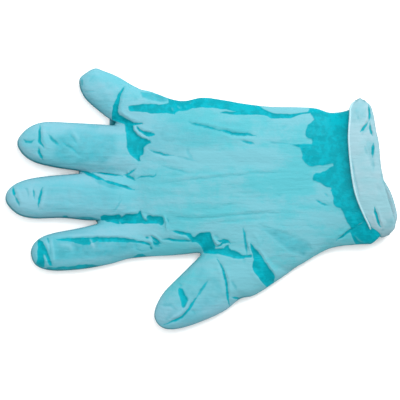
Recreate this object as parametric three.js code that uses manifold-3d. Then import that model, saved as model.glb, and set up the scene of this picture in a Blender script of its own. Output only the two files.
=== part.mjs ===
// A medium nitrile exam glove, lying flat with its beaded cuff turned back over the wrist.
// Millimetres, +Z up. The glove lies on Z = 0 with its fingers towards -X, its mouth towards +X
// and its little finger towards +Y. While it is built, X = 0 is the finger end of the palm and
// Y = 0 is the axis of the middle finger. The finished glove is centred over its own footprint.
import * as THREE from "three";
import { mergeVertices } from "three/addons/utils/BufferGeometryUtils.js";
import Module from "manifold-3d";

// Driving sizes.
const WALL = 1; // the film
const HAND_LENGTH = 149; // finger end of the palm to the mouth
const PALM_WIDTH = 94;
const PALM_HEIGHT = 15; // how far the slack palm stands off the surface
const MOUTH_WIDTH = 75; // outside of the film at the mouth, under the turned cuff
const MOUTH_HEIGHT = 13.5;
const TURN_BACK = 18; // how far the cuff is turned back, along the back of the hand
const CUFF_REACH = 20; // how far the turned cuff slants from one side to the other
const FOLD_RADIUS = 1.8; // half the gap between the wrist and the turned cuff
const CUFF_FLARE = 4; // how far the bead stands off where it flares most
const BEAD_DIAMETER = 2.4;
const DIGIT = {
  little: { length: 48.8, width: 24, height: 10.5 },
  ring: { length: 79.7, width: 28, height: 12 },
  middle: { length: 86.7, width: 28, height: 12 },
  index: { length: 78.1, width: 25, height: 11.5 },
  thumb: { length: 87.3, width: 50, height: 13 },
};

// Where each digit's axis ends inside the palm, as shares of the hand's length and the palm's
// width, and the way that the digit points, in degrees from +X.
const ROOT = {
  little: { along: 0.089, across: 0.491, angle: 149.4 },
  ring: { along: 0.089, across: 0.294, angle: 176.5 },
  middle: { along: 0.089, across: 0, angle: 180.8 },
  index: { along: 0.129, across: -0.255, angle: 188.1 },
  thumb: { along: 0.54, across: -0.166, angle: 225 },
};

// Outline of each digit. Columns: share of its length from the tip, then the distances from the
// axis to the edge on the little finger's side and on the thumb's side, as shares of its width.
const OUTLINE = {
  little: [
    [0.02, 0.14, 0.1],
    [0.1, 0.41, 0.27],
    [0.2, 0.46, 0.38],
    [0.4, 0.52, 0.46],
    [0.6, 0.52, 0.5],
    [0.8, 0.55, 0.44],
    [1, 0.56, 0.4],
  ],
  ring: [
    [0.02, 0.15, 0.16],
    [0.1, 0.37, 0.36],
    [0.2, 0.47, 0.45],
    [0.4, 0.49, 0.52],
    [0.7, 0.49, 0.55],
    [1, 0.48, 0.5],
  ],
  middle: [
    [0.02, 0.18, 0.16],
    [0.1, 0.35, 0.37],
    [0.2, 0.43, 0.44],
    [0.4, 0.49, 0.44],
    [0.6, 0.51, 0.5],
    [1, 0.44, 0.48],
  ],
  index: [
    [0.02, 0.2, 0.24],
    [0.1, 0.38, 0.41],
    [0.2, 0.44, 0.48],
    [0.4, 0.47, 0.52],
    [0.6, 0.52, 0.49],
    [0.75, 0.5, 0.43],
    [1, 0.46, 0.47],
  ],
  thumb: [
    [0.02, 0.11, 0.1],
    [0.1, 0.2, 0.22],
    [0.2, 0.24, 0.31],
    [0.4, 0.24, 0.44],
    [0.53, 0.24, 0.47],
    [0.6, 0.26, 0.55],
    [0.8, 0.3, 0.63],
    [1, 0.3, 0.69],
  ],
};

// Outline of the palm and wrist. Columns: share of the hand's length, edge on the little
// finger's side and edge on the thumb's side as shares of the palm's width, and share of the
// palm's height. The thumb covers the palm's edge where it leaves the hand.
const PALM = [
  [0, 0.665, -0.345, 0.58],
  [0.05, 0.682, -0.375, 0.72],
  [0.09, 0.672, -0.383, 0.84],
  [0.18, 0.62, -0.377, 0.95],
  [0.23, 0.61, -0.37, 1],
  [0.3, 0.631, -0.364, 1],
  [0.38, 0.617, -0.42, 1],
  [0.47, 0.592, -0.485, 1],
  [0.57, 0.574, -0.514, 1],
  [0.685, 0.57, -0.445, 1],
  [0.76, 0.562, -0.375, 0.97],
  [0.81, 0.536, -0.335, 0.95],
  [0.855, 0.536, -0.317, 0.95],
  [0.91, 0.545, -0.307, 1],
  [0.945, 0.555, -0.305, 1.08],
];
const MOUTH_CENTRE = 0.182; // of the palm's width, from the middle finger's axis
const WEB_TO = 0.06; // the webs between the fingers have no folds, up to this share of the hand's length
const LIFT_FROM = 0.74; // share of the hand's length where the wrist starts to rise onto its cuff
const SLANT_FROM = 0.8; // share of the hand's length where its sections start to slant

// The turned cuff round the mouth. Columns: degrees round the mouth from the little finger's
// side over the back of the hand, reach of the fold along X as a share of CUFF_REACH from the
// mouth, share of TURN_BACK, and share of CUFF_FLARE.
const TURNED_CUFF = [
  [0, -0.33, 0.32, 0],
  [15, -0.2, 0.68, 0.3],
  [30, -0.09, 0.86, 0.4],
  [60, 0.035, 1.03, 0.4],
  [90, 0.11, 1.03, 0.3],
  [120, 0.28, 1.07, 0.25],
  [150, 0.5, 1.02, 0.3],
  [165, 0.52, 0.74, 0.55],
  [180, 0.4, 0.2, 0.6],
  [195, 0.6, 0.5, 0.6],
  [210, 0.64, 1, 0],
  [240, 0.455, 1.1, 0],
  [270, 0.05, 1.1, 0],
  [300, -0.06, 1, 0],
  [330, -0.17, 0.85, 0],
  [345, -0.27, 0.55, 0.05],
];

// Dents and folds in the upper film. Columns: start and end, each as a share of the hand's
// length and of the palm's width; half-width as a share of the palm's width; depth as a share
// of the palm's height.
const FOLDS = [
  { from: [-0.03, 0.68], to: [-0.11, 0.5], half: 0.03, depth: 0.24, place: "root of the little finger" },
  { from: [-0.1, 0.49], to: [0.08, 0.45], half: 0.03, depth: 0.18, place: "web of the little finger" },
  { from: [0, 0.42], to: [0.1, 0.25], half: 0.035, depth: 0.14, place: "root of the ring finger" },
  { from: [-0.29, 0.155], to: [0.05, 0.08], half: 0.03, depth: 0.24, place: "ring to middle finger" },
  { from: [-0.17, -0.15], to: [0.25, -0.17], half: 0.03, depth: 0.28, place: "middle to index finger" },
  { from: [-0.45, -0.28], to: [0, -0.27], half: 0.03, depth: 0.2, place: "along the index finger" },
  { from: [0, 0.56], to: [0.45, 0.555], half: 0.035, depth: 0.24, place: "along the little finger's edge" },
  { from: [0.5, 0.55], to: [0.92, 0.49], half: 0.035, depth: 0.22, place: "edge of the wrist" },
  { from: [0.3, 0.46], to: [0.83, 0.38], half: 0.03, depth: 0.16, place: "long crease over the back" },
  { from: [0.1, 0.38], to: [0.3, 0.27], half: 0.03, depth: 0.16, place: "knuckle crease" },
  { from: [0.29, 0.105], to: [0.66, 0.14], half: 0.03, depth: 0.1, place: "middle of the back" },
  { from: [0.29, -0.18], to: [0.71, -0.1], half: 0.03, depth: 0.1, place: "back, towards the thumb" },
  { from: [0.28, -0.25], to: [0.5, -0.34], half: 0.05, depth: 0.3, place: "web of the thumb" },
  { from: [0.5, -0.3], to: [0.6, -0.52], half: 0.055, depth: 0.34, place: "ball of the thumb" },
  { from: [0.38, -0.42], to: [0.42, -0.68], half: 0.03, depth: 0.22, place: "across the thumb" },
  { from: [0.13, -0.82], to: [0.32, -0.54], half: 0.03, depth: 0.24, place: "along the thumb" },
  { from: [0.72, -0.28], to: [0.66, -0.34], half: 0.06, depth: 0.2, place: "dent by the wrist" },
  { from: [0.84, -0.28], to: [0.93, -0.18], half: 0.03, depth: 0.26, place: "pleat at the wrist" },
  { from: [-0.35, 0.43], to: [-0.34, 0.27], half: 0.03, depth: 0.18, place: "tip of the ring finger" },
  { from: [-0.32, -0.27], to: [-0.28, -0.42], half: 0.03, depth: 0.18, place: "tip of the index finger" },
];

// Fineness and shape of the sections.
const DIGIT_TOP_STEPS = 9; // across a digit's upper film
const DIGIT_FLOOR_STEPS = 5;
const DIGIT_STEPS = 13; // along a digit
const PALM_TOP_STEPS = 28;
const PALM_FLOOR_STEPS = 12;
const PALM_STEPS = 28;
const MOUTH_STEPS = 4; // along the last stretch, where the wrist closes in to the mouth
const BEAD_STEPS = 6;
const FOLD_STEPS = 4;
const EDGE_HEIGHT = 0.42; // height of a section's side edges, as a share of its height
const FLOOR_FLATNESS = 1.6; // above 1, the film's underside lies flat on the surface
const CROWN_POWER = 3;
const EVEN_SPACING = 0.55; // share of even spacing across a section; the rest crowds to its edges
const STEEPEST_SINK = 0.45; // a fold sinks the film by this share of its height at most
const JOINT_OVERLAP = 0.6; // how far the turned cuff's wall runs into the wrist's wall
const SAME_POINT = 1e-4; // corners closer than this are one corner

const wasm = await Module();
wasm.setup();

// Value at t of a table's column, where column 0 holds the places. Smooth between the rows.
function column(table, index, t) {
  let i = 0;
  while (i < table.length - 2 && t > table[i + 1][0]) i++;
  const before = table[Math.max(i - 1, 0)];
  const after = table[Math.min(i + 2, table.length - 1)];
  const [a, b] = [table[i], table[i + 1]];
  const span = b[0] - a[0];
  const share = THREE.MathUtils.clamp((t - a[0]) / span, 0, 1);
  const slopeA = ((b[index] - before[index]) / (b[0] - before[0])) * span;
  const slopeB = ((after[index] - a[index]) / (after[0] - a[0])) * span;
  const [s2, s3] = [share ** 2, share ** 3];
  return (
    (2 * s3 - 3 * s2 + 1) * a[index] +
    (s3 - 2 * s2 + share) * slopeA +
    (3 * s2 - 2 * s3) * b[index] +
    (s3 - s2) * slopeB
  );
}

// The same, for a table that runs once round in degrees.
function columnRound(table, index, degrees) {
  const turn = 360;
  const round = [
    ...table.map((row) => [row[0] - turn, ...row.slice(1)]),
    ...table,
    ...table.map((row) => [row[0] + turn, ...row.slice(1)]),
  ];
  return column(round, index, ((degrees % turn) + turn) % turn);
}

// How far the folds sink the upper film at a point of the plan.
function sink(x, y) {
  let depth = 0;
  const at = new THREE.Vector2(x, y);
  for (const fold of FOLDS) {
    const from = new THREE.Vector2(fold.from[0] * HAND_LENGTH, fold.from[1] * PALM_WIDTH);
    const run = new THREE.Vector2(fold.to[0] * HAND_LENGTH, fold.to[1] * PALM_WIDTH).sub(from);
    const along = THREE.MathUtils.clamp(at.clone().sub(from).dot(run) / run.lengthSq(), 0, 1);
    const off = at.distanceTo(from.addScaledVector(run, along)) / (fold.half * PALM_WIDTH);
    depth = Math.max(depth, fold.depth * PALM_HEIGHT * Math.exp(-off * off));
  }
  return depth;
}

// A shape's hollow: the same section moved in by the film's thickness.
function hollowOf({ left, right, foot, height }, inset) {
  return { left: left - inset, right: right + inset, foot: foot + inset, height: height - 2 * inset };
}

// One section of slack film, as [across, up, crown] rows round it: over the top from the left
// edge to the right, then back underneath. The crown is 0 at the edges and 1 at the middle.
function section({ left, right, foot, height }, topSteps, floorSteps) {
  const [half, middle] = [(left - right) / 2, (left + right) / 2];
  const points = [];
  for (let i = 0; i < topSteps + floorSteps; i++) {
    const over = i < topSteps;
    const turn = over ? 1 - (2 * i) / topSteps : -1 + (2 * (i - topSteps)) / floorSteps;
    const across = EVEN_SPACING * turn + (1 - EVEN_SPACING) * Math.sin((Math.PI / 2) * turn);
    const crown = Math.sqrt(Math.max(0, 1 - Math.abs(across) ** CROWN_POWER));
    const up = over
      ? EDGE_HEIGHT + (1 - EDGE_HEIGHT) * crown
      : EDGE_HEIGHT * (1 - Math.min(1, FLOOR_FLATNESS * crown));
    points.push([middle + half * across, foot + height * up, over ? crown : 0]);
  }
  return points;
}

// The closed mesh through a row of rings with as many points each, as a manifold-3d solid.
function loft(rings) {
  const count = rings[0].length;
  const corners = rings.flat();
  const faces = [];
  const ends = [rings[0], rings[rings.length - 1]].map((ring) => {
    const centre = ring.reduce((sum, p) => sum.add(p), new THREE.Vector3()).divideScalar(count);
    return corners.push(centre) - 1;
  });
  const lastRing = (rings.length - 1) * count;
  for (let i = 0; i < count; i++) {
    const next = (i + 1) % count;
    for (let r = 0; r < lastRing; r += count) {
      faces.push([r + i, r + next, r + count + next], [r + i, r + count + next, r + count + i]);
    }
    faces.push([ends[0], next, i], [ends[1], lastRing + i, lastRing + next]);
  }
  return solidOf(corners, faces);
}

// The closed mesh round a loop of rings, such as the turned cuff.
function loopLoft(rings) {
  const count = rings[0].length;
  const faces = [];
  rings.forEach((ring, r) => {
    const other = ((r + 1) % rings.length) * count;
    for (let i = 0; i < count; i++) {
      const [a, b] = [r * count + i, r * count + ((i + 1) % count)];
      const [c, d] = [other + ((i + 1) % count), other + i];
      faces.push([a, b, c], [a, c, d]);
    }
  });
  return solidOf(rings.flat(), faces);
}

// A mesh's corners and faces as a manifold-3d solid, with its faces turned outwards.
function solidOf(corners, faces) {
  const geometry = new THREE.BufferGeometry().setFromPoints(corners);
  geometry.setIndex(faces.flat());
  const merged = mergeVertices(geometry, SAME_POINT);
  const triVerts = Uint32Array.from(merged.index.array);
  const kept = [];
  for (let i = 0; i < triVerts.length; i += 3) {
    const [a, b, c] = triVerts.slice(i, i + 3);
    if (a !== b && b !== c && c !== a) kept.push(a, b, c);
  }
  const vertProperties = merged.attributes.position.array;
  const make = (order) =>
    new wasm.Manifold(new wasm.Mesh({ numProp: 3, vertProperties, triVerts: Uint32Array.from(order) }));
  const solid = make(kept);
  return solid.volume() > 0 ? solid : make(kept.reverse());
}

// One digit's outside, or with inset the hollow inside it.
function digit(name, inset) {
  const { length, width, height } = DIGIT[name];
  const root = ROOT[name];
  const angle = THREE.MathUtils.degToRad(root.angle);
  const out = new THREE.Vector2(Math.cos(angle), Math.sin(angle));
  const side = new THREE.Vector2(out.y, -out.x); // the little finger's side
  const base = new THREE.Vector2(root.along * HAND_LENGTH, root.across * PALM_WIDTH);
  // The edge goes with the square root of the way from the tip, which rounds the tip.
  const bySquareRoot = [[0, 0, 0], ...OUTLINE[name].map(([t, ...edges]) => [Math.sqrt(t), ...edges])];
  const rings = [];
  for (let step = 1; step <= DIGIT_STEPS; step++) {
    const share = step / DIGIT_STEPS;
    const left = column(bySquareRoot, 1, share) * width;
    const right = -column(bySquareRoot, 2, share) * width;
    const open = Math.min(1, Math.sqrt((share ** 2 * length) / height));
    const tall = height * Math.sqrt(1 - (1 - open) ** 2);
    // The hollow's tip is rounded inside the film's, so its sections move in by less there.
    const sideInset = inset * Math.min(1, (left - right) / width);
    const shape = {
      left: left - sideInset,
      right: right + sideInset,
      foot: inset,
      height: tall - inset - (inset * tall) / height,
    };
    if (shape.height < WALL) continue;
    const fromTip = inset + (length - 2 * inset) * share ** 2;
    const centre = base.clone().addScaledVector(out, length - fromTip);
    rings.push(
      section(shape, DIGIT_TOP_STEPS, DIGIT_FLOOR_STEPS).map(([across, up, crown]) => {
        const at = centre.clone().addScaledVector(side, across);
        const sunk = Math.min(sink(at.x, at.y), STEEPEST_SINK * tall) * crown;
        return new THREE.Vector3(at.x, at.y, up - sunk);
      }),
    );
  }
  return loft(rings);
}

// The shape of the palm and wrist at a share of the hand's length from the finger end.
function palmShape(along) {
  const closed = THREE.MathUtils.smoothstep(along, PALM[PALM.length - 1][0], 1);
  const mix = (own, atMouth) => THREE.MathUtils.lerp(own, atMouth, closed);
  const centre = MOUTH_CENTRE * PALM_WIDTH;
  return {
    left: mix(column(PALM, 1, along) * PALM_WIDTH, centre + MOUTH_WIDTH / 2),
    right: mix(column(PALM, 2, along) * PALM_WIDTH, centre - MOUTH_WIDTH / 2),
    foot: THREE.MathUtils.smoothstep(along, LIFT_FROM, 1) * 2 * FOLD_RADIUS,
    height: mix(column(PALM, 3, along) * PALM_HEIGHT, MOUTH_HEIGHT),
  };
}

// Degrees round the mouth of a section's point, from the little finger's side over the back.
function degreesRound(index) {
  const under = index - PALM_TOP_STEPS;
  return under < 0 ? (index / PALM_TOP_STEPS) * 180 : 180 + (under / PALM_FLOOR_STEPS) * 180;
}

// X of the fold at a place round the mouth.
function foldReach(degrees) {
  return HAND_LENGTH + columnRound(TURNED_CUFF, 1, degrees) * CUFF_REACH;
}

// The palm and wrist's outside, or with inset the hollow inside them, which runs past the mouth.
function palm(inset) {
  const closingFrom = PALM[PALM.length - 1][0];
  const rings = [];
  for (let step = 0; step <= PALM_STEPS + MOUTH_STEPS; step++) {
    const along =
      step <= PALM_STEPS
        ? (closingFrom * step) / PALM_STEPS
        : THREE.MathUtils.lerp(closingFrom, 1, (step - PALM_STEPS) / MOUTH_STEPS);
    const shape = palmShape(along);
    const slant = THREE.MathUtils.smoothstep(along, SLANT_FROM, 1);
    const within = THREE.MathUtils.smoothstep(along, 0, WEB_TO);
    const x = Math.max(along * HAND_LENGTH, inset);
    const points = section(hollowOf(shape, inset), PALM_TOP_STEPS, PALM_FLOOR_STEPS);
    rings.push(
      points.map(([y, up, crown], i) => {
        const end = foldReach(degreesRound(i)) - FOLD_RADIUS - WALL;
        const slack = within * (1 - THREE.MathUtils.smoothstep(along, closingFrom, 1));
        const sunk = Math.min(sink(x, y), STEEPEST_SINK * shape.height) * crown * slack;
        return new THREE.Vector3(x + slant * (end - HAND_LENGTH), y, up - sunk);
      }),
    );
  }
  if (inset > 0) {
    const past = new THREE.Vector3(2 * FOLD_RADIUS + 2 * WALL, 0, 0);
    rings.push(rings[rings.length - 1].map((p) => p.clone().add(past)));
  }
  return loft(rings);
}

// The cuff's film from the wrist round the fold to the bead: one closed profile at each place
// round the mouth, with along measured from the fold and off outwards from the wrist's film.
function cuffProfile(turnedBack, flare) {
  const half = WALL / 2;
  const bead = BEAD_DIAMETER / 2;
  const start = -FOLD_RADIUS - WALL - JOINT_OVERLAP;
  const gap = 2 * FOLD_RADIUS;
  const back = Math.max(turnedBack, FOLD_RADIUS + bead + WALL);
  const beadAt = { along: -back + bead, off: gap + flare };
  const arc = (radius, centreAlong, centreOff, fromTurn, toTurn, steps) =>
    Array.from({ length: steps + 1 }, (_, i) => {
      const angle = fromTurn + ((toTurn - fromTurn) * i) / steps;
      return [centreAlong + radius * Math.cos(angle), centreOff + radius * Math.sin(angle)];
    });
  const quarter = Math.PI / 2;
  const outer = arc(FOLD_RADIUS + half, -FOLD_RADIUS, FOLD_RADIUS, -quarter, quarter, FOLD_STEPS);
  const inner = arc(FOLD_RADIUS - half, -FOLD_RADIUS, FOLD_RADIUS, quarter, -quarter, FOLD_STEPS);
  const beadTurn = Math.asin(Math.min(1, half / bead));
  const round = arc(bead, beadAt.along, beadAt.off, beadTurn, 2 * Math.PI - beadTurn, BEAD_STEPS);
  return [[start, -half], ...outer, ...round, ...inner, [start, half]];
}

// The turned cuff with its bead.
function turnedCuff() {
  const film = section(hollowOf(palmShape(1), WALL / 2), PALM_TOP_STEPS, PALM_FLOOR_STEPS);
  const mouth = film.map(([y, z]) => new THREE.Vector2(y, z));
  const rings = mouth.map((at, i) => {
    const next = mouth[(i + 1) % mouth.length];
    const last = mouth[(i + mouth.length - 1) % mouth.length];
    const tangent = next.clone().sub(last).normalize();
    const outwards = new THREE.Vector2(tangent.y, -tangent.x);
    const degrees = degreesRound(i);
    const turnedBack = columnRound(TURNED_CUFF, 2, degrees) * TURN_BACK;
    const flare = columnRound(TURNED_CUFF, 3, degrees) * CUFF_FLARE;
    return cuffProfile(turnedBack, flare).map(([along, off]) => {
      const place = at.clone().addScaledVector(outwards, off);
      return new THREE.Vector3(foldReach(degrees) + along, place.x, Math.max(0, place.y));
    });
  });
  return loopLoft(rings);
}

// The whole glove: the outsides joined, the hollow cut out, and the turned cuff joined on.
function glove() {
  const names = Object.keys(DIGIT);
  const outside = names.reduce((sum, name) => sum.add(digit(name, 0)), palm(0));
  const hollow = names.reduce((sum, name) => sum.add(digit(name, WALL)), palm(WALL));
  return outside.subtract(hollow).add(turnedCuff());
}

// A manifold-3d solid as a three.js geometry, centred over its footprint.
function geometryOf(solid) {
  const { vertProperties, triVerts, numProp } = solid.getMesh();
  const positions = new Float32Array((vertProperties.length / numProp) * 3);
  for (let i = 0; i < positions.length / 3; i++) {
    positions.set(vertProperties.subarray(i * numProp, i * numProp + 3), i * 3);
  }
  const geometry = new THREE.BufferGeometry();
  geometry.setAttribute("position", new THREE.BufferAttribute(positions, 3));
  geometry.setIndex(new THREE.BufferAttribute(triVerts, 1));
  geometry.computeBoundingBox();
  const centre = geometry.boundingBox.getCenter(new THREE.Vector3());
  geometry.translate(-centre.x, -centre.y, -geometry.boundingBox.min.z);
  geometry.computeVertexNormals();
  return geometry;
}

const film = new THREE.MeshStandardMaterial({ color: 0x6ec8d8, roughness: 0.42, metalness: 0 });
const shell = new THREE.Mesh(geometryOf(glove()), film);
shell.name = "glove_film";

const part = new THREE.Group();
part.add(shell);
export default part;
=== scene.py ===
import math

import bmesh
import bpy
import numpy as np
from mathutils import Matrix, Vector, noise


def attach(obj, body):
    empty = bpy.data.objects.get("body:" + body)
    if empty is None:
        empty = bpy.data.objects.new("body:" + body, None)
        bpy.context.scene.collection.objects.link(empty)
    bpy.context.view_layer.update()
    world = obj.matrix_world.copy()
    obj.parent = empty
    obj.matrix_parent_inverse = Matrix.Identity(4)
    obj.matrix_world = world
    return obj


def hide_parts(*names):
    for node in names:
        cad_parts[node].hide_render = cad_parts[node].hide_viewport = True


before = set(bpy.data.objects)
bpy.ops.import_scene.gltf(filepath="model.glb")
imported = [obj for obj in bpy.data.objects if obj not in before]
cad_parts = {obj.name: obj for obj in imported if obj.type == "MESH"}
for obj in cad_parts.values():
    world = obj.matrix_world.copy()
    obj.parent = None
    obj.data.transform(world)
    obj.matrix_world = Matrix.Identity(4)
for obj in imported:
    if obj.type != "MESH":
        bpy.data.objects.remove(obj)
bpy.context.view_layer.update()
MM = 0.001

# The glove's sizes in millimetres, as in its solid model. While it is built, X = 0 is the
# finger end of the palm and Y = 0 is the middle finger's axis. Then it moves onto its frame,
# whose zero is the middle of the glove's footprint.
HAND_LENGTH = 149.0
PALM_WIDTH = 94.0
PALM_HEIGHT = 15.0
MOUTH_WIDTH = 75.0
MOUTH_HEIGHT = 13.5
MOUTH_CENTRE = 0.182 * PALM_WIDTH
TURN_BACK = 18.0
CUFF_REACH = 20.0
FOLD_RADIUS = 1.8
CUFF_FLARE = 2.2
BEAD_RADIUS = 0.7
CENTRE = np.array([44.67, -1.42, 0])  # the frame's zero in the built place

# Sizes in millimetres that only the thin film has
CUFF_HALF = 0.17  # half the thickness of the cuff's film
BEAD_OPENS = math.asin(CUFF_HALF / BEAD_RADIUS)  # angle at which the film's faces enter its bead
SLEEVE = 13.0  # how far the cuff's film runs on inside the wrist, at most
SHORT_SLEEVE = 6.2  # and at least
WRIST_SHORT_BY = 2.5  # how far from the fold the wrist's own film ends
BODY_PAST_MOUTH = 4.0  # the wrist is built this much longer, then cut along the fold
LOWEST = 0.02  # height of the film's lowest points
FOLDS_REST = 1.4  # no crease goes lower than this

# Shares of the hand's length where the wrist starts to rise onto its cuff and to slant
LIFT_FROM = 0.74
SLANT_FROM = 0.8

# A section's side edges as a share of its height, how flat it lies underneath (above 1 is
# flatter), how full its crown is, and how evenly its points are spaced across
EDGE_HEIGHT = 0.36
FLOOR_FLATNESS = 1.35
CROWN_POWER = 2.7
EVEN_SPACING = 0.55
TIP_ROUNDING = 1.5  # a digit's tip rises over this many of its heights
ROOT_DROP = 0.35  # the share of its height that a digit loses at its end in the palm

VOXEL = 0.62  # cell of the skin that joins the digits and the palm, in millimetres
SMOOTHING = 14  # rounds, all over it
KNUCKLE_ROUNDS = 160  # rounds, between the fingers' roots
FACES_KEPT = 0.56  # share of all faces, when those underneath are thinned out
SHARP_EDGE = math.radians(50)
RELIEF = 0.7  # share of a crease's or ridge's height in the tables that the film is given
VALLEY = 0.85  # and a further share for creases

# Colours as they are seen, from 0 to 255: single film, doubled film (also the painted shade of creases
# and edges), and single where it is paler (on the hand, painted light on the fingers and thumb; on the
# cuff, its bead)
HAND_COLOURS = (93, 152, 163), (0, 130, 143), (106, 155, 169)
CUFF_COLOURS = (125, 157, 166), (10, 128, 139), (147, 176, 184)

VIEW_WIDTH = 0.24  # what the camera sees at the film's height, in metres
VIEW_HEIGHT = 0.005

# name: length, width, height, where its axis ends in the palm (shares of the hand's length and
# the palm's width), and the way that it points in degrees
DIGITS = {
    "little": (48.8, 24.0, 10.5, 0.089, 0.491, 149.4),
    "ring": (79.7, 28.0, 12.0, 0.089, 0.294, 176.5),
    "middle": (86.7, 28.0, 12.0, 0.089, 0.0, 180.8),
    "index": (78.1, 25.0, 11.5, 0.129, -0.255, 188.1),
    "thumb": (87.3, 50.0, 13.0, 0.54, -0.166, 225.0),
}

# share of the digit's length from its tip, edge on the little finger's side, other edge
DIGIT_OUTLINES = {
    "little": [
        (0.02, 0.14, 0.1), (0.1, 0.41, 0.27), (0.2, 0.46, 0.38), (0.4, 0.52, 0.46),
        (0.6, 0.52, 0.5), (0.8, 0.55, 0.44), (1, 0.56, 0.4),
    ],
    "ring": [
        (0.02, 0.15, 0.16), (0.1, 0.37, 0.36), (0.2, 0.47, 0.45), (0.4, 0.49, 0.52),
        (0.7, 0.49, 0.55), (1, 0.48, 0.5),
    ],
    "middle": [
        (0.02, 0.18, 0.16), (0.1, 0.35, 0.37), (0.2, 0.43, 0.44), (0.4, 0.49, 0.44),
        (0.6, 0.51, 0.5), (1, 0.44, 0.48),
    ],
    "index": [
        (0.02, 0.2, 0.24), (0.1, 0.38, 0.41), (0.2, 0.44, 0.48), (0.4, 0.47, 0.52),
        (0.6, 0.52, 0.49), (0.75, 0.5, 0.43), (1, 0.46, 0.47),
    ],
    "thumb": [
        (0.02, 0.11, 0.1), (0.1, 0.2, 0.22), (0.2, 0.24, 0.31), (0.4, 0.24, 0.44),
        (0.53, 0.24, 0.47), (0.6, 0.26, 0.55), (0.8, 0.3, 0.63), (1, 0.3, 0.69),
    ],
}

# share of the hand's length, both edges as shares of the palm's width, share of its height
PALM_OUTLINE = [
    (0, 0.665, -0.345, 0.58), (0.05, 0.682, -0.375, 0.72), (0.09, 0.672, -0.383, 0.84),
    (0.18, 0.62, -0.377, 0.95), (0.23, 0.61, -0.37, 1), (0.3, 0.631, -0.364, 1),
    (0.38, 0.617, -0.42, 1), (0.47, 0.592, -0.485, 1), (0.57, 0.574, -0.514, 1),
    (0.685, 0.57, -0.445, 1), (0.76, 0.562, -0.375, 0.97), (0.81, 0.536, -0.335, 0.95),
    (0.855, 0.536, -0.317, 0.95), (0.91, 0.545, -0.307, 1), (0.945, 0.555, -0.305, 1.08),
]

# middle of each web between two fingers, half its length, half its width, height, in millimetres
WEBS = [(-23.5, 14.6, 6, 2.6, 4.5), (-12, -14.6, 7, 2.8, 5), (-3.5, 43.2, 4.5, 2.4, 4.5)]

# degrees round the mouth, then the reach of the fold, the length turned back and the flare of
# the bead, as shares of CUFF_REACH, TURN_BACK and CUFF_FLARE
CUFF_OUTLINE = [
    (0, -0.3, 0.39, 0), (5, -0.2, 0.62, 0.1), (10, -0.16, 0.72, 0.2), (15, -0.14, 0.77, 0.3),
    (22, -0.11, 0.81, 0.35), (30, -0.085, 0.85, 0.4), (45, -0.04, 0.93, 0.4), (60, 0.035, 1.02, 0.4),
    (90, 0.11, 1.03, 0.3), (120, 0.28, 1.07, 0.25), (150, 0.49, 1.0, 0.3), (160, 0.54, 0.94, 0.35),
    (170, 0.54, 0.84, 0.3), (175, 0.49, 0.69, 0.2), (180, 0.41, 0.46, 0.1), (185, 0.48, 0.58, 0),
    (190, 0.55, 0.72, 0), (200, 0.61, 0.87, 0), (210, 0.64, 1, 0), (240, 0.455, 1.1, 0),
    (270, 0.05, 1.1, 0), (300, -0.06, 1, 0), (330, -0.12, 0.85, 0), (345, -0.17, 0.62, 0),
    (355, -0.23, 0.45, 0),
]
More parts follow.
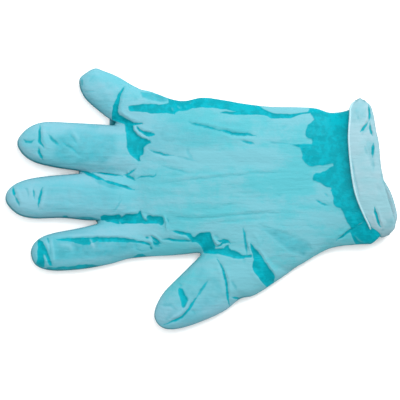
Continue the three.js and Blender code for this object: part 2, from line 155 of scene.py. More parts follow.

# Creases and ridges of the upper film, in millimetres from the middle of the glove's footprint:
# the line that each follows, half its width, how far it sinks (a ridge is below 0), and how
# deeply the film is tinted there, as doubled film and painted shade in the crease (below 0, a painted
# highlight along the ridge).
HAND_FOLDS = [
    # little finger
    ("ridge by the root", [
        (-44.4, 68), (-46.6, 62), (-48.2, 55), (-48.4, 52.4), (-46, 49.8), (-39, 47),
    ], 1.2, -1.0, -0.4),
    ("tip", [(-63.8, 74), (-68.6, 69.4)], 1.0, 0.5, 0.3),
    ("tip, lower", [(-71.4, 64.1), (-67, 64), (-63, 64.6)], 0.8, 0.5, 0.45),
    ("side", [(-71.8, 72), (-71.9, 67)], 0.8, 0.3, 0.5),
    ("dent", [(-58, 71), (-56.4, 67), (-52, 66.6)], 1.8, 0.5, 0.25),
    ("root, upper", [(-41.4, 60.4), (-38.6, 59)], 1.6, 0.4, 0.35),
    ("crinkle", [(-18.6, 54.8), (-17, 52.4)], 0.7, -0.7, -0.5),
    ("crinkle 2", [(-14.8, 55.8), (-12.8, 53.6)], 0.7, -0.7, -0.5),
    ("crinkle 3", [(-11, 56.2), (-9.6, 54)], 0.6, -0.6, -0.4),
    ("crinkle 4", [(-21.4, 58), (-20.6, 57)], 0.6, -0.5, -0.5),
    ("crinkle 5", [(-7.8, 56.4), (-6, 57.8)], 0.7, -0.5, -0.4),
    ("crinkle 6", [(-19.4, 52.8), (-16.4, 51)], 0.7, 0.6, 1.2),
    # edge of the palm on the little finger's side
    ("inner line", [(-1, 57), (6, 57.4), (8, 56.8)], 1.0, -0.3, -0.2),
    ("strip above it", [(35.6, 55.8), (42, 54.4), (50, 53), (57, 53.8), (63, 53.8)], 1.5, -0.5, -0.45),
    ("long crease", [(-8, 45.8), (-2, 44.1), (5, 42.3), (10, 41)], 0.9, 0.9, 0.8),
    ("long crease, on", [
        (9, 41.2), (15, 40), (18, 38.9), (21, 38.4), (27, 38.7), (32.4, 37.4),
    ], 1.0, 1.2, 0.95),
    ("ridge beside it", [(-10, 47.6), (2, 45.2), (14, 42.4), (26, 40.6)], 1.2, -0.5, -0.1),
    ("ridge under it", [(12, 38.6), (18, 36.6), (26, 36.2)], 1.2, -0.5, -0.3),
    ("short crease", [(22.8, 35), (25.5, 34), (28, 33.4), (31.4, 33)], 0.9, 0.8, 0.75),
    ("faint crease", [(37, 34), (45, 33.2), (54, 32.8)], 0.8, 0.5, 0.4),
    ("fold of the edge", [(12.4, 37), (15.4, 33)], 1.2, 0.4, 0.3),
    ("fold of the edge 2", [(36, 44.6), (42, 47.4)], 1.0, 0.4, 0.25),
    ("fold of the edge 3", [(47, 41), (51, 44.6)], 1.1, 0.4, 0.3),
    # ring finger
    ("across the tip", [
        (-96.8, 44), (-97, 38), (-97.2, 34), (-96, 32.4), (-94.2, 30.4),
    ], 1.0, 1.2, 0.95),
    ("across the tip 2", [(-97.6, 30.6), (-97.2, 28), (-96.4, 26), (-95.2, 23.4)], 0.95, 1.0, 0.9),
    ("ridge beside it", [(-94.8, 44), (-94.6, 37), (-93, 31)], 1.2, -0.7, -0.45),
    ("hook", [(-106.8, 35.6), (-105, 33.9), (-102.5, 33.8), (-100.2, 35.2)], 0.9, 0.7, 0.75),
    ("crease", [(-92, 38.8), (-90, 36), (-87, 33.6), (-84.6, 31.4)], 1.1, 0.8, 0.75),
    ("crease 2", [
        (-83.6, 34.2), (-81.4, 32.2), (-78.5, 30.8), (-76, 28.6), (-73.6, 26),
    ], 0.9, 0.8, 0.65),
    ("crease 3", [(-79.4, 39.2), (-77.5, 36.5), (-75.5, 34), (-74.4, 32)], 0.9, 0.7, 0.55),
    ("ridge between", [(-76.8, 40), (-73.6, 34.6)], 1.1, -0.5, -0.3),
    ("edge", [(-69, 43.8), (-64, 42.8), (-60, 43.2)], 0.9, 0.4, 0.4),
    ("edge 2", [(-60.4, 42.6), (-58, 38.4)], 1.6, 0.4, 0.3),
    ("edge 3", [(-54.6, 38), (-53, 33.4)], 1.2, 0.3, 0.3),
    ("pale streak in the root", [(-39.2, 29.4), (-37.6, 25.6)], 0.7, -0.3, -0.3),
    ("ridge by the root", [
        (-40.7, 43.4), (-39.9, 41), (-38.2, 39), (-36, 37.5), (-33, 36.5),
    ], 0.9, -1.2, -0.8),
    ("ridge over it", [(-37.8, 42.9), (-34, 41.8), (-29, 40.6)], 0.8, -0.6, -0.4),
    ("tail", [(-32, 29.6), (-28, 28), (-25, 27.2), (-22, 26), (-17, 25.8)], 0.8, 0.8, 0.8),
    ("tail, on", [(-18, 25.8), (-8, 23.6), (-3, 22.6)], 0.9, 0.4, 0.35),
    ("ridge under it", [(-28, 25.8), (-21, 23.4), (-12, 22.2)], 1.3, -0.4, -0.25),
    # between the ring and middle fingers
    ("lap", [(-66, 15.8), (-61, 15.1), (-55, 14.6), (-51, 14.3), (-47.4, 13.5)], 0.7, 1.6, 0.95),
    ("lap, fork up", [(-47, 14.2), (-43.5, 14.9), (-41.5, 16.4), (-39.2, 18.4)], 0.7, 0.8, 0.85),
    ("lap, fork down", [(-46, 14), (-43.6, 13.2), (-41.8, 12.2), (-40, 11)], 0.8, 1.0, 1.0),
    ("lap, pale notch", [(-41.8, 13.8), (-40.2, 15.4), (-38.2, 18.6)], 0.7, -0.7, -0.6),
    ("lap, end", [
        (-39.4, 12), (-36.5, 12.9), (-33, 13.3), (-29.4, 13.3), (-27.4, 14.4), (-28.2, 15.6),
    ], 0.7, 0.8, 0.8),
    ("diagonal", [(-72, 16.4), (-69, 15.6), (-66, 14.3), (-63, 12.8), (-58, 10.9)], 1.1, 1.4, 1.1),
    ("diagonal, on", [(-60, 11.4), (-54, 9.4), (-47, 7.4), (-40.4, 5.2)], 1.0, 1.2, 1.05),
    ("wedge between", [(-63.6, 14.4), (-57, 12.8), (-49, 11.2)], 0.8, -0.8, -0.7),
    ("wide dip", [(-66, 12.4), (-58, 8.8), (-48, 5.6)], 1.8, 0.5, 0.5),
    # middle finger
    ("tip crease", [(-113, 6.8), (-112.8, 4), (-112, 1.5)], 1.1, 0.8, 0.9),
    ("tip crease, on", [(-112, 1.6), (-110.6, -1), (-109.6, -2.6), (-109, -4.4)], 0.8, 0.7, 0.65),
    ("tip ridge", [(-111, 6), (-109.6, 2), (-108, -1)], 0.9, -0.5, -0.3),
    ("across the tip", [(-107, 6.6), (-104.8, 5.8), (-103.6, 3), (-103.7, 0)], 0.8, 0.4, 0.4),
    ("across the tip 2", [(-101, 6.2), (-100.4, 3), (-100.2, 0)], 0.8, 0.7, 0.7),
    ("across the tip 3", [
        (-95.3, 7), (-96, 4.4), (-96.8, 1), (-97.4, -2), (-97.8, -4.8),
    ], 0.9, 0.9, 0.95),
    ("ridge beside it", [(-94, 5.6), (-95, -1), (-96, -5)], 0.9, -0.5, -0.3),
    ("soft dip", [(-81, 6), (-80, -0.4), (-76, -4)], 2.2, 0.4, 0.25),
    ("lower edge", [(-83.6, -10.4), (-80, -10.8)], 0.7, 0.2, 0.8),
    ("lower edge 2", [(-75, -11.8), (-70, -11.6), (-63, -12)], 0.9, 0.3, 0.7),
    # between the middle and index fingers
    ("knuckle", [(-53.4, -8), (-50, -4), (-47.4, 0.4)], 0.8, 0.4, 0.45),
    ("knuckle, on", [(-48.6, 2), (-50, -1)], 0.9, 0.3, 0.3),
    ("pale notch", [(-48.9, -11.4), (-47.2, -9.6)], 0.6, -0.6, -0.8),
    ("pale notch 2", [(-49.6, -13.8), (-48.4, -15.4)], 0.6, -0.5, -0.7),
    ("pale notch 3", [(-40, -11.2), (-37.6, -10.6)], 0.6, -0.3, -0.35),
    ("pale notch 4", [(-35.4, -9.6), (-34.2, -11.6), (-32.4, -12.8)], 0.7, -0.9, -0.9),
    ("ridge over it", [(-48, -8.2), (-42, -7.9), (-38.6, -7.4)], 0.8, -0.6, -0.4),
    ("ridge over it 2", [(-32, -8.6), (-29, -9.2), (-25, -9)], 0.7, -0.6, -0.4),
    ("bright end", [(-23.2, -9.8), (-21.8, -12), (-21.5, -14.4), (-21, -19)], 0.8, -1.1, -0.9),
    ("bright end, dark side", [(-21.2, -10.8), (-20.4, -13), (-20.2, -15)], 0.6, 0.7, 0.7),
    ("band, on", [(-19.6, -11.4), (-10, -11.8), (1, -12.8)], 1.4, 0.4, 0.35),
    # index finger
    ("tip, short", [(-92.4, -23), (-91.7, -27)], 0.7, 0.6, 0.75),
    ("tip, bright", [(-95, -33), (-94, -36), (-92.9, -39)], 0.7, -0.6, -0.7),
    ("tip, bright 2", [(-93.9, -25), (-92.7, -28), (-91.4, -31.4)], 0.7, -0.7, -0.7),
    ("tip, bright 3", [(-90.2, -24.6), (-89.5, -30), (-88.3, -38.6)], 0.8, -0.7, -0.55),
    ("tip, left", [(-100.2, -30), (-99.6, -35.6)], 0.7, -0.2, -0.3),
    ("behind the tip", [(-86.2, -29), (-85.6, -37)], 0.9, 0.3, 0.3),
    ("bright cut in the line", [(-67, -23.8), (-65.8, -26), (-64.8, -28.8)], 0.6, -0.6, -0.6),
    ("ridge under the line", [(-86, -26.8), (-79, -28.4), (-77, -32)], 1.4, -0.5, -0.25),
    ("ridge over the line", [(-86, -22.2), (-64, -21.6), (-46, -21.8), (-38, -23.4)], 0.9, -0.6, -0.3),
    ("cluster", [(-33.8, -22.8), (-31.4, -24)], 0.7, 0.7, 0.85),
    ("cluster 2", [(-30.2, -22.6), (-27.5, -24.7), (-24.6, -26.8)], 1.0, 1.2, 1.1),
    ("cluster 3", [(-29.5, -25), (-28.6, -26.8), (-25, -26.8)], 0.9, 0.9, 1.0),
    ("cluster 4", [(-29, -28), (-24.6, -28.2)], 1.0, 0.3, 0.5),
    ("cluster 5", [(-31, -28), (-29.8, -30.8)], 0.9, 0.7, 0.8),
    ("cluster, bright", [(-32, -24.8), (-30.2, -26.4), (-29.9, -28.4)], 0.7, -0.8, -0.7),
    ("cluster, bright 2", [(-29.8, -21.4), (-27, -23.2), (-24.4, -25.4)], 0.7, -0.9, -0.7),
    ("loop", [(-43, -28), (-39.4, -28.2), (-39.4, -30.2), (-36, -31.2), (-31.6, -30.8)], 0.6, 0.4, 0.5),
    ("mark", [(-23.8, -24.4), (-20, -24.1), (-17, -24.8), (-12, -25.3), (-4.6, -25.3)], 0.85, 0.9, 0.9),
    ("ridge over the mark", [(-15.6, -21.8), (-11, -22.6), (-8, -23.8)], 0.9, -0.7, -0.55),
    ("soft line", [(-14, -30.6), (-6, -29.4)], 1.2, -0.3, -0.2),
    # crotch of the thumb
    ("shade over it", [(7.4, -21.6), (10, -23.6)], 1.2, 0.5, 0.45),
    ("squiggle", [(8.8, -24.7), (11, -25.6), (13, -24.9), (15, -25.2), (17.2, -27)], 0.7, 0.8, 1.1),
    ("squiggle 2", [(8.4, -28.8), (10.5, -28), (12.4, -26.6), (14.4, -26), (16, -26.8)], 0.8, 0.9, 1.1),
    ("squiggle, bright", [(6.3, -22.6), (7.9, -25.4), (9.4, -27.2), (11.4, -26.5)], 0.7, -1.0, -0.9),
    ("squiggle, bright 2", [(8.4, -29.7), (11.4, -29), (13.2, -27.6)], 0.6, -0.6, -0.7),
    ("crease", [(24.7, -17.4), (25.2, -21), (25.8, -25), (26.2, -29), (26.6, -33)], 0.95, 1.0, 0.85),
    ("crease, bright", [(27.1, -23.6), (27.6, -28), (28.6, -30.6), (29.4, -33)], 0.7, -0.9, -0.8),
    ("arrow", [(28.8, -26.6), (30.4, -29.6), (32.4, -32)], 0.8, 0.8, 1.2),
    # ball of the thumb
    ("right border", [(33.4, -29.8), (37, -34.4), (41, -40.4), (44.6, -46)], 0.9, -1.1, -0.9),
    ("left border", [(28.4, -36), (29, -42), (32, -47), (36, -52)], 1.3, -0.4, 0),
    ("shade under it", [(26, -36.4), (24, -38)], 1.6, 0.3, 0.35),
    ("fold up", [(36.4, -23.4), (35.8, -28)], 1.0, 0.3, 0.3),
    ("fold up, bright", [(30.6, -20), (33, -24), (35, -28.6)], 1.2, -0.5, -0.3),
    ("fold right", [(33, -17), (36, -18.6), (42, -18.8), (50, -20.6)], 1.1, 0.5, 0.4),
    # thumb
    ("crease", [
        (9.2, -36), (10.6, -38.6), (12, -41.4), (13.4, -45.4), (14.6, -50), (15, -55), (15.3, -60),
        (16.6, -64),
    ], 0.85, 1.3, 1.0),
    ("crease, bright", [(13.2, -41), (15.8, -46), (17, -54), (16.8, -60)], 0.8, -0.7, -0.4),
    ("crease, left", [(8.6, -38.6), (11.6, -46), (12.8, -56)], 1.2, -0.5, -0.2),
    ("side fold", [(17.4, -48), (19, -51.5), (21, -54.8)], 1.1, 0.4, 0.4),
    ("notch", [(17.2, -58.6), (20, -59.4), (22, -60), (26.4, -59.8)], 0.7, 0.9, 0.9),
    ("long crease", [(3.8, -49), (1, -52.6), (-1, -55.4), (-3.6, -59.4)], 1.0, 1.0, 0.75),
    ("long crease, on", [
        (-2, -56.8), (-6.4, -63.6), (-9, -67.4), (-12, -70.3), (-16, -72.7), (-22.8, -75.3),
    ], 0.85, 1.3, 1.0),
    ("long crease, bright", [
        (-7.9, -61.6), (-9.4, -64.8), (-11.6, -67.8), (-14.6, -70), (-19, -72.6),
    ], 0.8, -1.0, -0.8),
    ("tip shade", [(-25.6, -63.2), (-18.4, -63.4), (-16, -66.4), (-17, -68.4)], 1.2, 0.4, 0.4),
    ("tip shade 2", [(-19.8, -71.4), (-18, -73)], 0.9, 0.3, 0.4),
    ("side shade", [(-6.6, -65.8), (-3.4, -69.4)], 1.0, 0.4, 0.45),
    ("side shade 2", [(-13.8, -50), (-12.4, -53)], 1.0, 0.3, 0.4),
    ("fan", [(-5, -47), (-3, -40)], 1.4, 0.3, 0.2),
    ("fan 2", [(6.6, -46), (7.4, -40)], 1.2, 0.3, 0.2),
    # palm
    ("long line", [(-31, 8.2), (-10, 11), (12, 13.2), (35, 15.6), (60, 15.4)], 0.8, 0.5, 0.35),
    ("ridge over it", [(-12, 12.8), (12, 15), (36, 17.4)], 1.3, -0.35, -0.15),
    ("long line 2", [(-22, -12.8), (6, -11.2), (35, -8.4), (59, -8.4)], 0.8, 0.5, 0.35),
    ("ridge over it 2", [(0, -9.6), (30, -6.6), (52, -6.4)], 1.3, -0.35, -0.15),
    ("long line 3", [(0, -15.4), (22, -13.2), (44, -11)], 0.8, 0.4, 0.25),
    ("line", [(3, -6.4), (12, -4.6), (22.8, -2.6)], 0.9, 0.4, 0.25),
    ("line 2", [(42, 2.8), (48, 1.6)], 1.0, 0.4, 0.3),
    ("line 3", [(67.4, -0.4), (70.6, -2.4), (73.4, -3.6), (75.6, -3.9)], 0.8, 0.7, 0.75),
    ("line 4", [(73, 3.6), (75.4, 0.8)], 0.9, 0.4, 0.45),
    ("line 5", [(57, 5.4), (60, 4.4)], 0.9, 0.3, 0.3),
    ("knuckle line", [(-26, 20.6), (-21, 18.8), (-15, 17.2), (-7, 15)], 0.9, 0.5, 0.4),
    ("knuckle line 2", [(-26, 34.9), (-18, 34.2), (-10.4, 34.6)], 0.9, 0.4, 0.3),
    ("knuckle line 3", [(-8.8, 32), (-8, 27), (-5.4, 23.6)], 1.3, 0.5, 0.4),
    ("knuckle line 4", [(-25.6, 41.6), (-24.8, 35.4)], 1.0, 0.3, 0.2),
    ("broad fold", [(10, 30), (22, 20), (40, 22)], 2.6, 0.4, 0.1),
    ("broad fold 2", [(2, 2), (24, 3), (44, -2)], 2.8, 0.4, 0.12),
    # wrist
    ("pleat", [(80.2, -24.9), (83, -23), (86.4, -20.2), (90, -18), (95.4, -14.8)], 0.8, 1.4, 1.1),
    ("pleat, bright", [(80.6, -22.8), (84, -20.6), (87.6, -17.6)], 0.8, -0.6, -0.35),
    ("corner, bright", [(90.4, -21), (92.6, -23.4), (95, -25.4), (98, -25.8)], 0.7, -0.5, -0.45),
    ("cling, bright", [(79.2, 5), (81.2, 2.4)], 0.6, -0.3, -0.5),
    ("cling, bright 2", [(76, 20.4), (78.6, 21)], 0.9, -0.3, -0.3),
    ("cling, dark", [(77, 5.6), (79, 1.6), (79.4, -3)], 0.8, 0.5, 1.1),
]

# Where doubled or clinging film tints the glove deeper, with painted shade in its dents and folds:
# each place's outline in millimetres, the softness of its edge, how far it sinks, and its tint.
HAND_PATCHES = [
    ("index finger, soft", [
        (-90, -23), (-94, -32), (-89, -38), (-70, -37), (-52, -34), (-38, -30), (-34, -26),
        (-50, -22), (-72, -20),
    ], 3, 0, 0.52),
    ("middle finger, soft", [
        (-98, 9), (-99, -6), (-82, -10), (-62, -9), (-50, -4), (-50, 8), (-66, 12), (-84, 11),
    ], 4, 0, 0.3),
    ("ring finger, soft", [
        (-88, 39), (-90, 24), (-76, 19), (-58, 19), (-50, 26), (-50, 40), (-66, 43), (-80, 42),
    ], 4, 0, 0.43),
    ("little finger, soft", [
        (-68, 66), (-71, 58), (-62, 50), (-54, 50), (-52, 58), (-58, 66),
    ], 3, 0, 0.34),
    ("thumb, soft", [
        (-20, -66), (-24, -72), (-20, -76), (-8, -74), (8, -64), (16, -58), (12, -46), (0, -40),
        (-10, -50),
    ], 4, 0, 0.33),
    ("back of the hand, soft", [
        (-34, 44), (-36, 30), (-20, 26), (0, 30), (22, 34), (30, 40), (24, 47), (0, 49), (-20, 50),
    ], 4, 0, 0.33),
    ("crease at the root of the little finger", [
        (-46.3, 67.4), (-48.2, 65.6), (-50.3, 62), (-51.8, 59), (-53.3, 55), (-54.1, 50.5),
        (-53.9, 47.3), (-50.3, 46), (-47, 44.9), (-44.6, 43.9), (-40.4, 43.9), (-38, 44.3),
        (-35.1, 44.7), (-35.3, 45.5), (-38, 45.5), (-41, 46), (-43.5, 47), (-46.2, 48.3), (-49.2, 50),
        (-50.2, 52), (-50, 55), (-49.1, 59), (-48.3, 62.5), (-46.9, 65),
    ], 0.45, 1.7, 1.05),
    ("band at its root", [
        (-44.4, 55.3), (-43.8, 53.2), (-42.8, 52.2), (-38, 51.9), (-33.5, 52), (-30.5, 51.1),
        (-26, 51), (-20, 51.1), (-17.4, 51), (-16.2, 50.6), (-15.6, 51.6), (-14, 52.4), (-10.5, 52.3),
        (-8.5, 53), (-5.6, 54.4), (-5.6, 62), (-12, 60), (-17, 60), (-20.2, 60.6), (-20.4, 57.4),
        (-22, 56.7), (-26, 56.4), (-30, 56.9), (-35, 56.9), (-38, 56.2), (-42, 55.9),
    ], 0.5, 1.1, 1.0),
    ("over the band", [
        (-37, 64), (-30, 64), (-25, 62.4), (-20, 60.4), (-20.6, 58), (-26, 58), (-31, 58.8),
        (-36, 60.4),
    ], 1.0, 0.3, 0.6),
    ("edge of the palm", [
        (-6, 62), (5, 62), (14, 60), (22, 57.4), (30, 57.8), (33.4, 57), (35.2, 55.2), (37, 53.9),
        (39.2, 52.4), (41.5, 51.5), (44, 50.9), (48, 50.7), (54, 50.7), (57, 51.2), (60, 52),
        (63, 52.3), (64.6, 53.6), (64.6, 56), (67, 56), (67, 52), (64.6, 51.2), (61, 51),
        (57.5, 49.9), (55, 49), (53, 48.2), (48, 48), (44, 47.9), (41, 48.2), (39.5, 49.3),
        (37, 49.9), (33, 50.2), (24, 50), (18, 50.3), (12, 51), (10.5, 51.3), (13, 52.1), (18, 52),
        (20.5, 52.2), (17, 52.8), (13, 53.4), (8, 54.3), (3, 54.3), (0, 54.7), (-3, 54.3), (-6, 54.4),
    ], 0.45, 1.2, 1.05),
    ("root of the ring finger", [
        (-46.4, 44.6), (-45.8, 40), (-45.2, 37), (-45.1, 34), (-45.1, 31), (-44.3, 28.5), (-43, 26.5),
        (-41.2, 24.9), (-39.5, 23.2), (-37.8, 22.2), (-36.6, 22.5), (-37.3, 24.2), (-36.8, 25.8),
        (-35.3, 26.4), (-34.7, 28), (-34.8, 30.5), (-33.2, 32), (-30.6, 33.4), (-30.8, 34.6),
        (-33, 35.9), (-36, 36.6), (-38, 37.9), (-39.4, 39.6), (-40.9, 41.5), (-41, 44.4),
    ], 0.55, 1.2, 1.0),
    ("over its ridge", [
        (-39.4, 43.4), (-38.6, 43.4), (-37, 41.6), (-34.5, 40.6), (-31, 40), (-28.9, 39.3),
        (-28, 38.2), (-29, 37.6), (-31.5, 37), (-33.6, 37.4), (-36, 38.8), (-38, 40.4), (-39.3, 42),
    ], 0.4, 0.9, 1.0),
    ("middle to index finger", [
        (-61, -10.7), (-58.5, -9.8), (-52, -9.8), (-49.6, -9.3), (-48.6, -10.2), (-46.5, -9.7),
        (-45, -9), (-41, -9), (-38.5, -8.8), (-37.6, -7.5), (-36.6, -7), (-36.2, -8.6),
        (-35.3, -10.2), (-33.8, -11.4), (-32.9, -9.9), (-31.4, -9.6), (-29.5, -10.4), (-24, -10.4),
        (-22.9, -11.6), (-22.4, -13), (-22.6, -14.6), (-23.4, -15.8), (-24.7, -15.8), (-26, -15),
        (-35, -15), (-42, -14.9), (-46, -15), (-50, -15.3), (-52.5, -14.6), (-55, -13.8),
        (-57.2, -13.7), (-58.5, -13), (-60.6, -13),
    ], 0.4, 1.4, 1.05),
    ("along the index finger", [
        (-88.6, -24), (-84, -23.7), (-80, -23.4), (-70, -23.2), (-63, -22.9), (-58, -22.8),
        (-50, -22.9), (-45, -23.4), (-40, -24.4), (-36, -25.2), (-33, -26.2), (-30.4, -27.2),
        (-31.2, -28), (-34, -27.3), (-38, -26.5), (-43, -26.2), (-50, -26.2), (-56, -25.9),
        (-63, -25.6), (-66, -26.8), (-67, -27.5), (-69, -27.9), (-72, -27.6), (-74.5, -27),
        (-77, -25.9), (-82, -25.3), (-86, -24.8),
    ], 0.6, 1.1, 0.95),
    ("its lower edge", [
        (-93, -40.6), (-88, -40.8), (-84, -40.5), (-78, -40.4), (-74, -39.4), (-66, -39.2),
        (-62, -40), (-60, -41), (-60, -44), (-93, -44),
    ], 0.5, 0.3, 0.85),
    ("its lower edge 2", [
        (-41, -34.4), (-38.5, -33.2), (-35.5, -32.9), (-33.2, -34), (-33.2, -36), (-41, -36),
    ], 0.4, 0.3, 0.95),
    ("its tip", [
        (-98.6, -24), (-97, -24.6), (-95.4, -25.4), (-94.6, -27), (-93.4, -29.4), (-92.2, -32),
        (-91, -35), (-89.8, -38), (-89.3, -39.8), (-91, -40.2), (-92.6, -38), (-93.6, -35.4),
        (-94.6, -33.2), (-94.2, -36), (-93.9, -38.6), (-94.4, -41), (-97, -41), (-99.4, -39),
        (-98.5, -36), (-98.6, -33), (-98.4, -30), (-98.6, -27.6),
    ], 0.5, 0.8, 1.0),
    ("mark by the thumb", [
        (-17.8, -19.2), (-15.5, -18.6), (-13.5, -19), (-9.5, -19.9), (-7, -20.3), (-6, -21.5),
        (-5.4, -22.6), (-4.4, -23.4), (-4.6, -24.8), (-7, -24.6), (-8.2, -23.4), (-9.5, -22.2),
        (-13, -21.4), (-15.5, -20.6),
    ], 0.45, 0.8, 0.95),
    ("crotch of the thumb", [
        (-6, -22.6), (-4.2, -23), (-2.8, -21.6), (-1, -20.4), (1, -20), (4.6, -20), (5.4, -21),
        (6, -22.6), (6.7, -24.4), (7.4, -26.4), (8.2, -28.6), (7.4, -29.9), (10.5, -30.1),
        (13, -29.6), (14, -28.2), (15.6, -27.6), (16.2, -29.4), (17.2, -30.5), (19.6, -31.1),
        (22, -32), (24.4, -33.7), (27.5, -33.7), (29.8, -33.3), (29.8, -35), (26, -35.3), (24, -36),
        (21.5, -36), (18.5, -35.3), (15, -34.3), (12, -33.5), (8, -33), (4, -32.9), (1.2, -32.9),
        (0.6, -31), (0, -29.6), (-1.2, -28), (-2.3, -26.6), (-4, -26), (-6, -26.1),
    ], 0.5, 1.3, 1.1),
    ("ball of the thumb", [
        (28.6, -26.6), (29.4, -26.9), (31.5, -29.4), (33.4, -31.6), (35.4, -34), (37.2, -37),
        (39.4, -40), (41.6, -43), (43.4, -45.8), (43.6, -47), (43, -50), (38.6, -53), (37, -51.2),
        (35.2, -49.2), (33.6, -46.8), (32, -44.6), (30.6, -42.6), (30, -41), (30.2, -38.6),
        (30.8, -36), (30.2, -33.6), (29.2, -31), (28.7, -28.6),
    ], 0.45, 1.2, 1.1),
    ("on the thumb", [
        (-14.4, -54.4), (-13.6, -53.2), (-11.6, -53.4), (-10.8, -55.4), (-9.8, -57.6), (-8.2, -59.4),
        (-7.8, -61), (-8.8, -62.6), (-9.6, -64.6), (-10.8, -65.6), (-12, -64.4), (-12.6, -62),
        (-13.2, -59.6), (-14.2, -57),
    ], 0.7, 0.9, 0.95),
    ("dent by the wrist", [
        (33, -15), (45, -18), (58, -23), (64, -26.4), (66.6, -31), (61, -35), (52, -32), (45, -27),
        (38, -20.6),
    ], 3.4, 0.5, 0.44),
    ("corner of the wrist", [
        (88.6, -19), (92, -17), (95.4, -14.6), (97, -12), (112, -16), (108, -30), (96, -30),
        (92.6, -30), (91.6, -26.6), (90.4, -24.6), (89.6, -22.6), (88.8, -20.6),
    ], 0.45, 0.5, 1.0),
]

# Where the film clings to itself over the wrist
CLING = [
    (64, 53), (64.4, 58), (88, 58), (112, 50), (112, -24), (104, -24), (97, -13), (95, -14.8),
    (92, -17), (89.4, -18.6), (88, -16.4), (86.4, -14), (85, -11), (84, -8), (82.6, -5.6),
    (80.4, -4.8), (78.6, -3.2), (78, -1), (78.6, 0.6), (78, 3), (76.8, 5), (77.4, 6.4), (75, 7),
    (72.6, 8.2), (70.4, 9.6), (68, 10), (65.8, 10.4), (65.4, 12.2), (66.4, 14), (68, 15.4),
    (71, 15.6), (73.6, 16.4), (76, 18.2), (78.4, 19.6), (78, 20.9), (75, 20.6), (72, 20),
    (69.4, 19.6), (65.6, 19.4), (63, 19.8), (61.4, 21), (60, 22.6), (59, 24.2), (59.3, 26),
    (59.2, 28), (58.6, 30.4), (56, 31.4), (52, 32.9), (56, 32.7), (65.6, 32.6), (66, 34),
    (65.4, 35.6), (63.4, 36.2), (62, 37), (61.4, 38.6), (61.8, 40.6), (62.6, 42.6), (63.4, 44.2),
    (65, 45.2), (66.5, 46.6), (67.3, 47.5), (66.5, 49.2), (65, 50.4), (64.4, 52),
]

# Creases and ridges of the turned cuff, as for the hand.
CUFF_FOLDS = [
    ("crease", [(99.4, 56), (99.7, 51), (99.3, 48), (99.2, 46.2)], 0.8, 1.5, 1.1),
    ("crease, bright", [(98.3, 54.4), (98.4, 48.8), (97.4, 46.2), (95.6, 43.4)], 0.7, -0.7, -0.5),
    ("branch", [(98.8, 45.6), (97, 43.4), (95.4, 41.4), (94.1, 39.9)], 0.9, 1.3, 1.1),
    ("branch, tail", [(94.4, 40.2), (95.4, 37.4)], 0.8, 0.4, 0.3),
    ("branch 2", [(99.9, 45.4), (100.2, 42), (100.8, 39), (101.3, 37.4)], 0.8, 1.2, 1.05),
    ("branch 2, bright", [(100.8, 46), (101.3, 41.4), (102.8, 38.4)], 0.7, -0.6, -0.5),
    ("soft spot", [(92.6, 49.2), (93.8, 46.6)], 1.3, 0.5, 0.5),
    ("soft spot 2", [(95, 51), (96.4, 48.6)], 1.0, 0.3, 0.25),
    ("upper rim", [(89.8, 56), (92.6, 58.4), (96, 58.4)], 0.9, 0.3, 0.3),
    ("dimple", [(101.7, 33), (101.5, 29), (101.2, 24.8)], 1.1, 1.2, 1.05),
    ("dimple, tail", [(101.3, 25), (102.1, 20), (101.8, 16.6)], 1.0, 0.5, 0.5),
    ("dimple, bright", [(103, 34), (103, 27), (103.2, 20)], 0.9, -0.4, -0.25),
    ("dimple 2", [(96.8, 31.4), (97.5, 28.4), (98.5, 25.8)], 1.1, 0.6, 0.5),
    ("bend", [(99.8, 17), (100.4, 14), (102, 13.4)], 1.0, 0.4, 0.2),
    ("bend 2", [(103.4, 9), (106, 4), (108, 0)], 1.2, 0.4, 0.25),
    ("outer edge", [(107.3, 15), (108.2, 12), (110, 8), (112, 3.6)], 0.8, 0.4, 0.5),
    ("groove by the bead", [(88.8, 26), (89.9, 18), (91.2, 11), (93, 3), (94.2, -2)], 0.5, 0.6, 0.45),
    ("slit", [
        (102.7, -4.6), (103.2, -8), (104.1, -11.4), (105.4, -15.2), (106.6, -16.8),
    ], 0.75, 1.5, 1.3),
    ("slit, bright", [(104.6, -6.4), (106, -10.6), (107.6, -15.6)], 0.8, -0.7, -0.4),
    ("slit, left", [(101.4, -8), (103, -14.6)], 0.9, -0.4, -0.2),
    ("lower dent", [(110, -13), (113.6, -14.4), (115, -16)], 1.2, 0.4, 0.3),
    ("lower dent 2", [(106.8, -19), (109, -18)], 0.9, 0.4, 0.4),
    ("groove", [(99.7, -15.8), (101.4, -18.6), (103.4, -20.4), (107.4, -22.6)], 0.8, 1.2, 1.2),
]

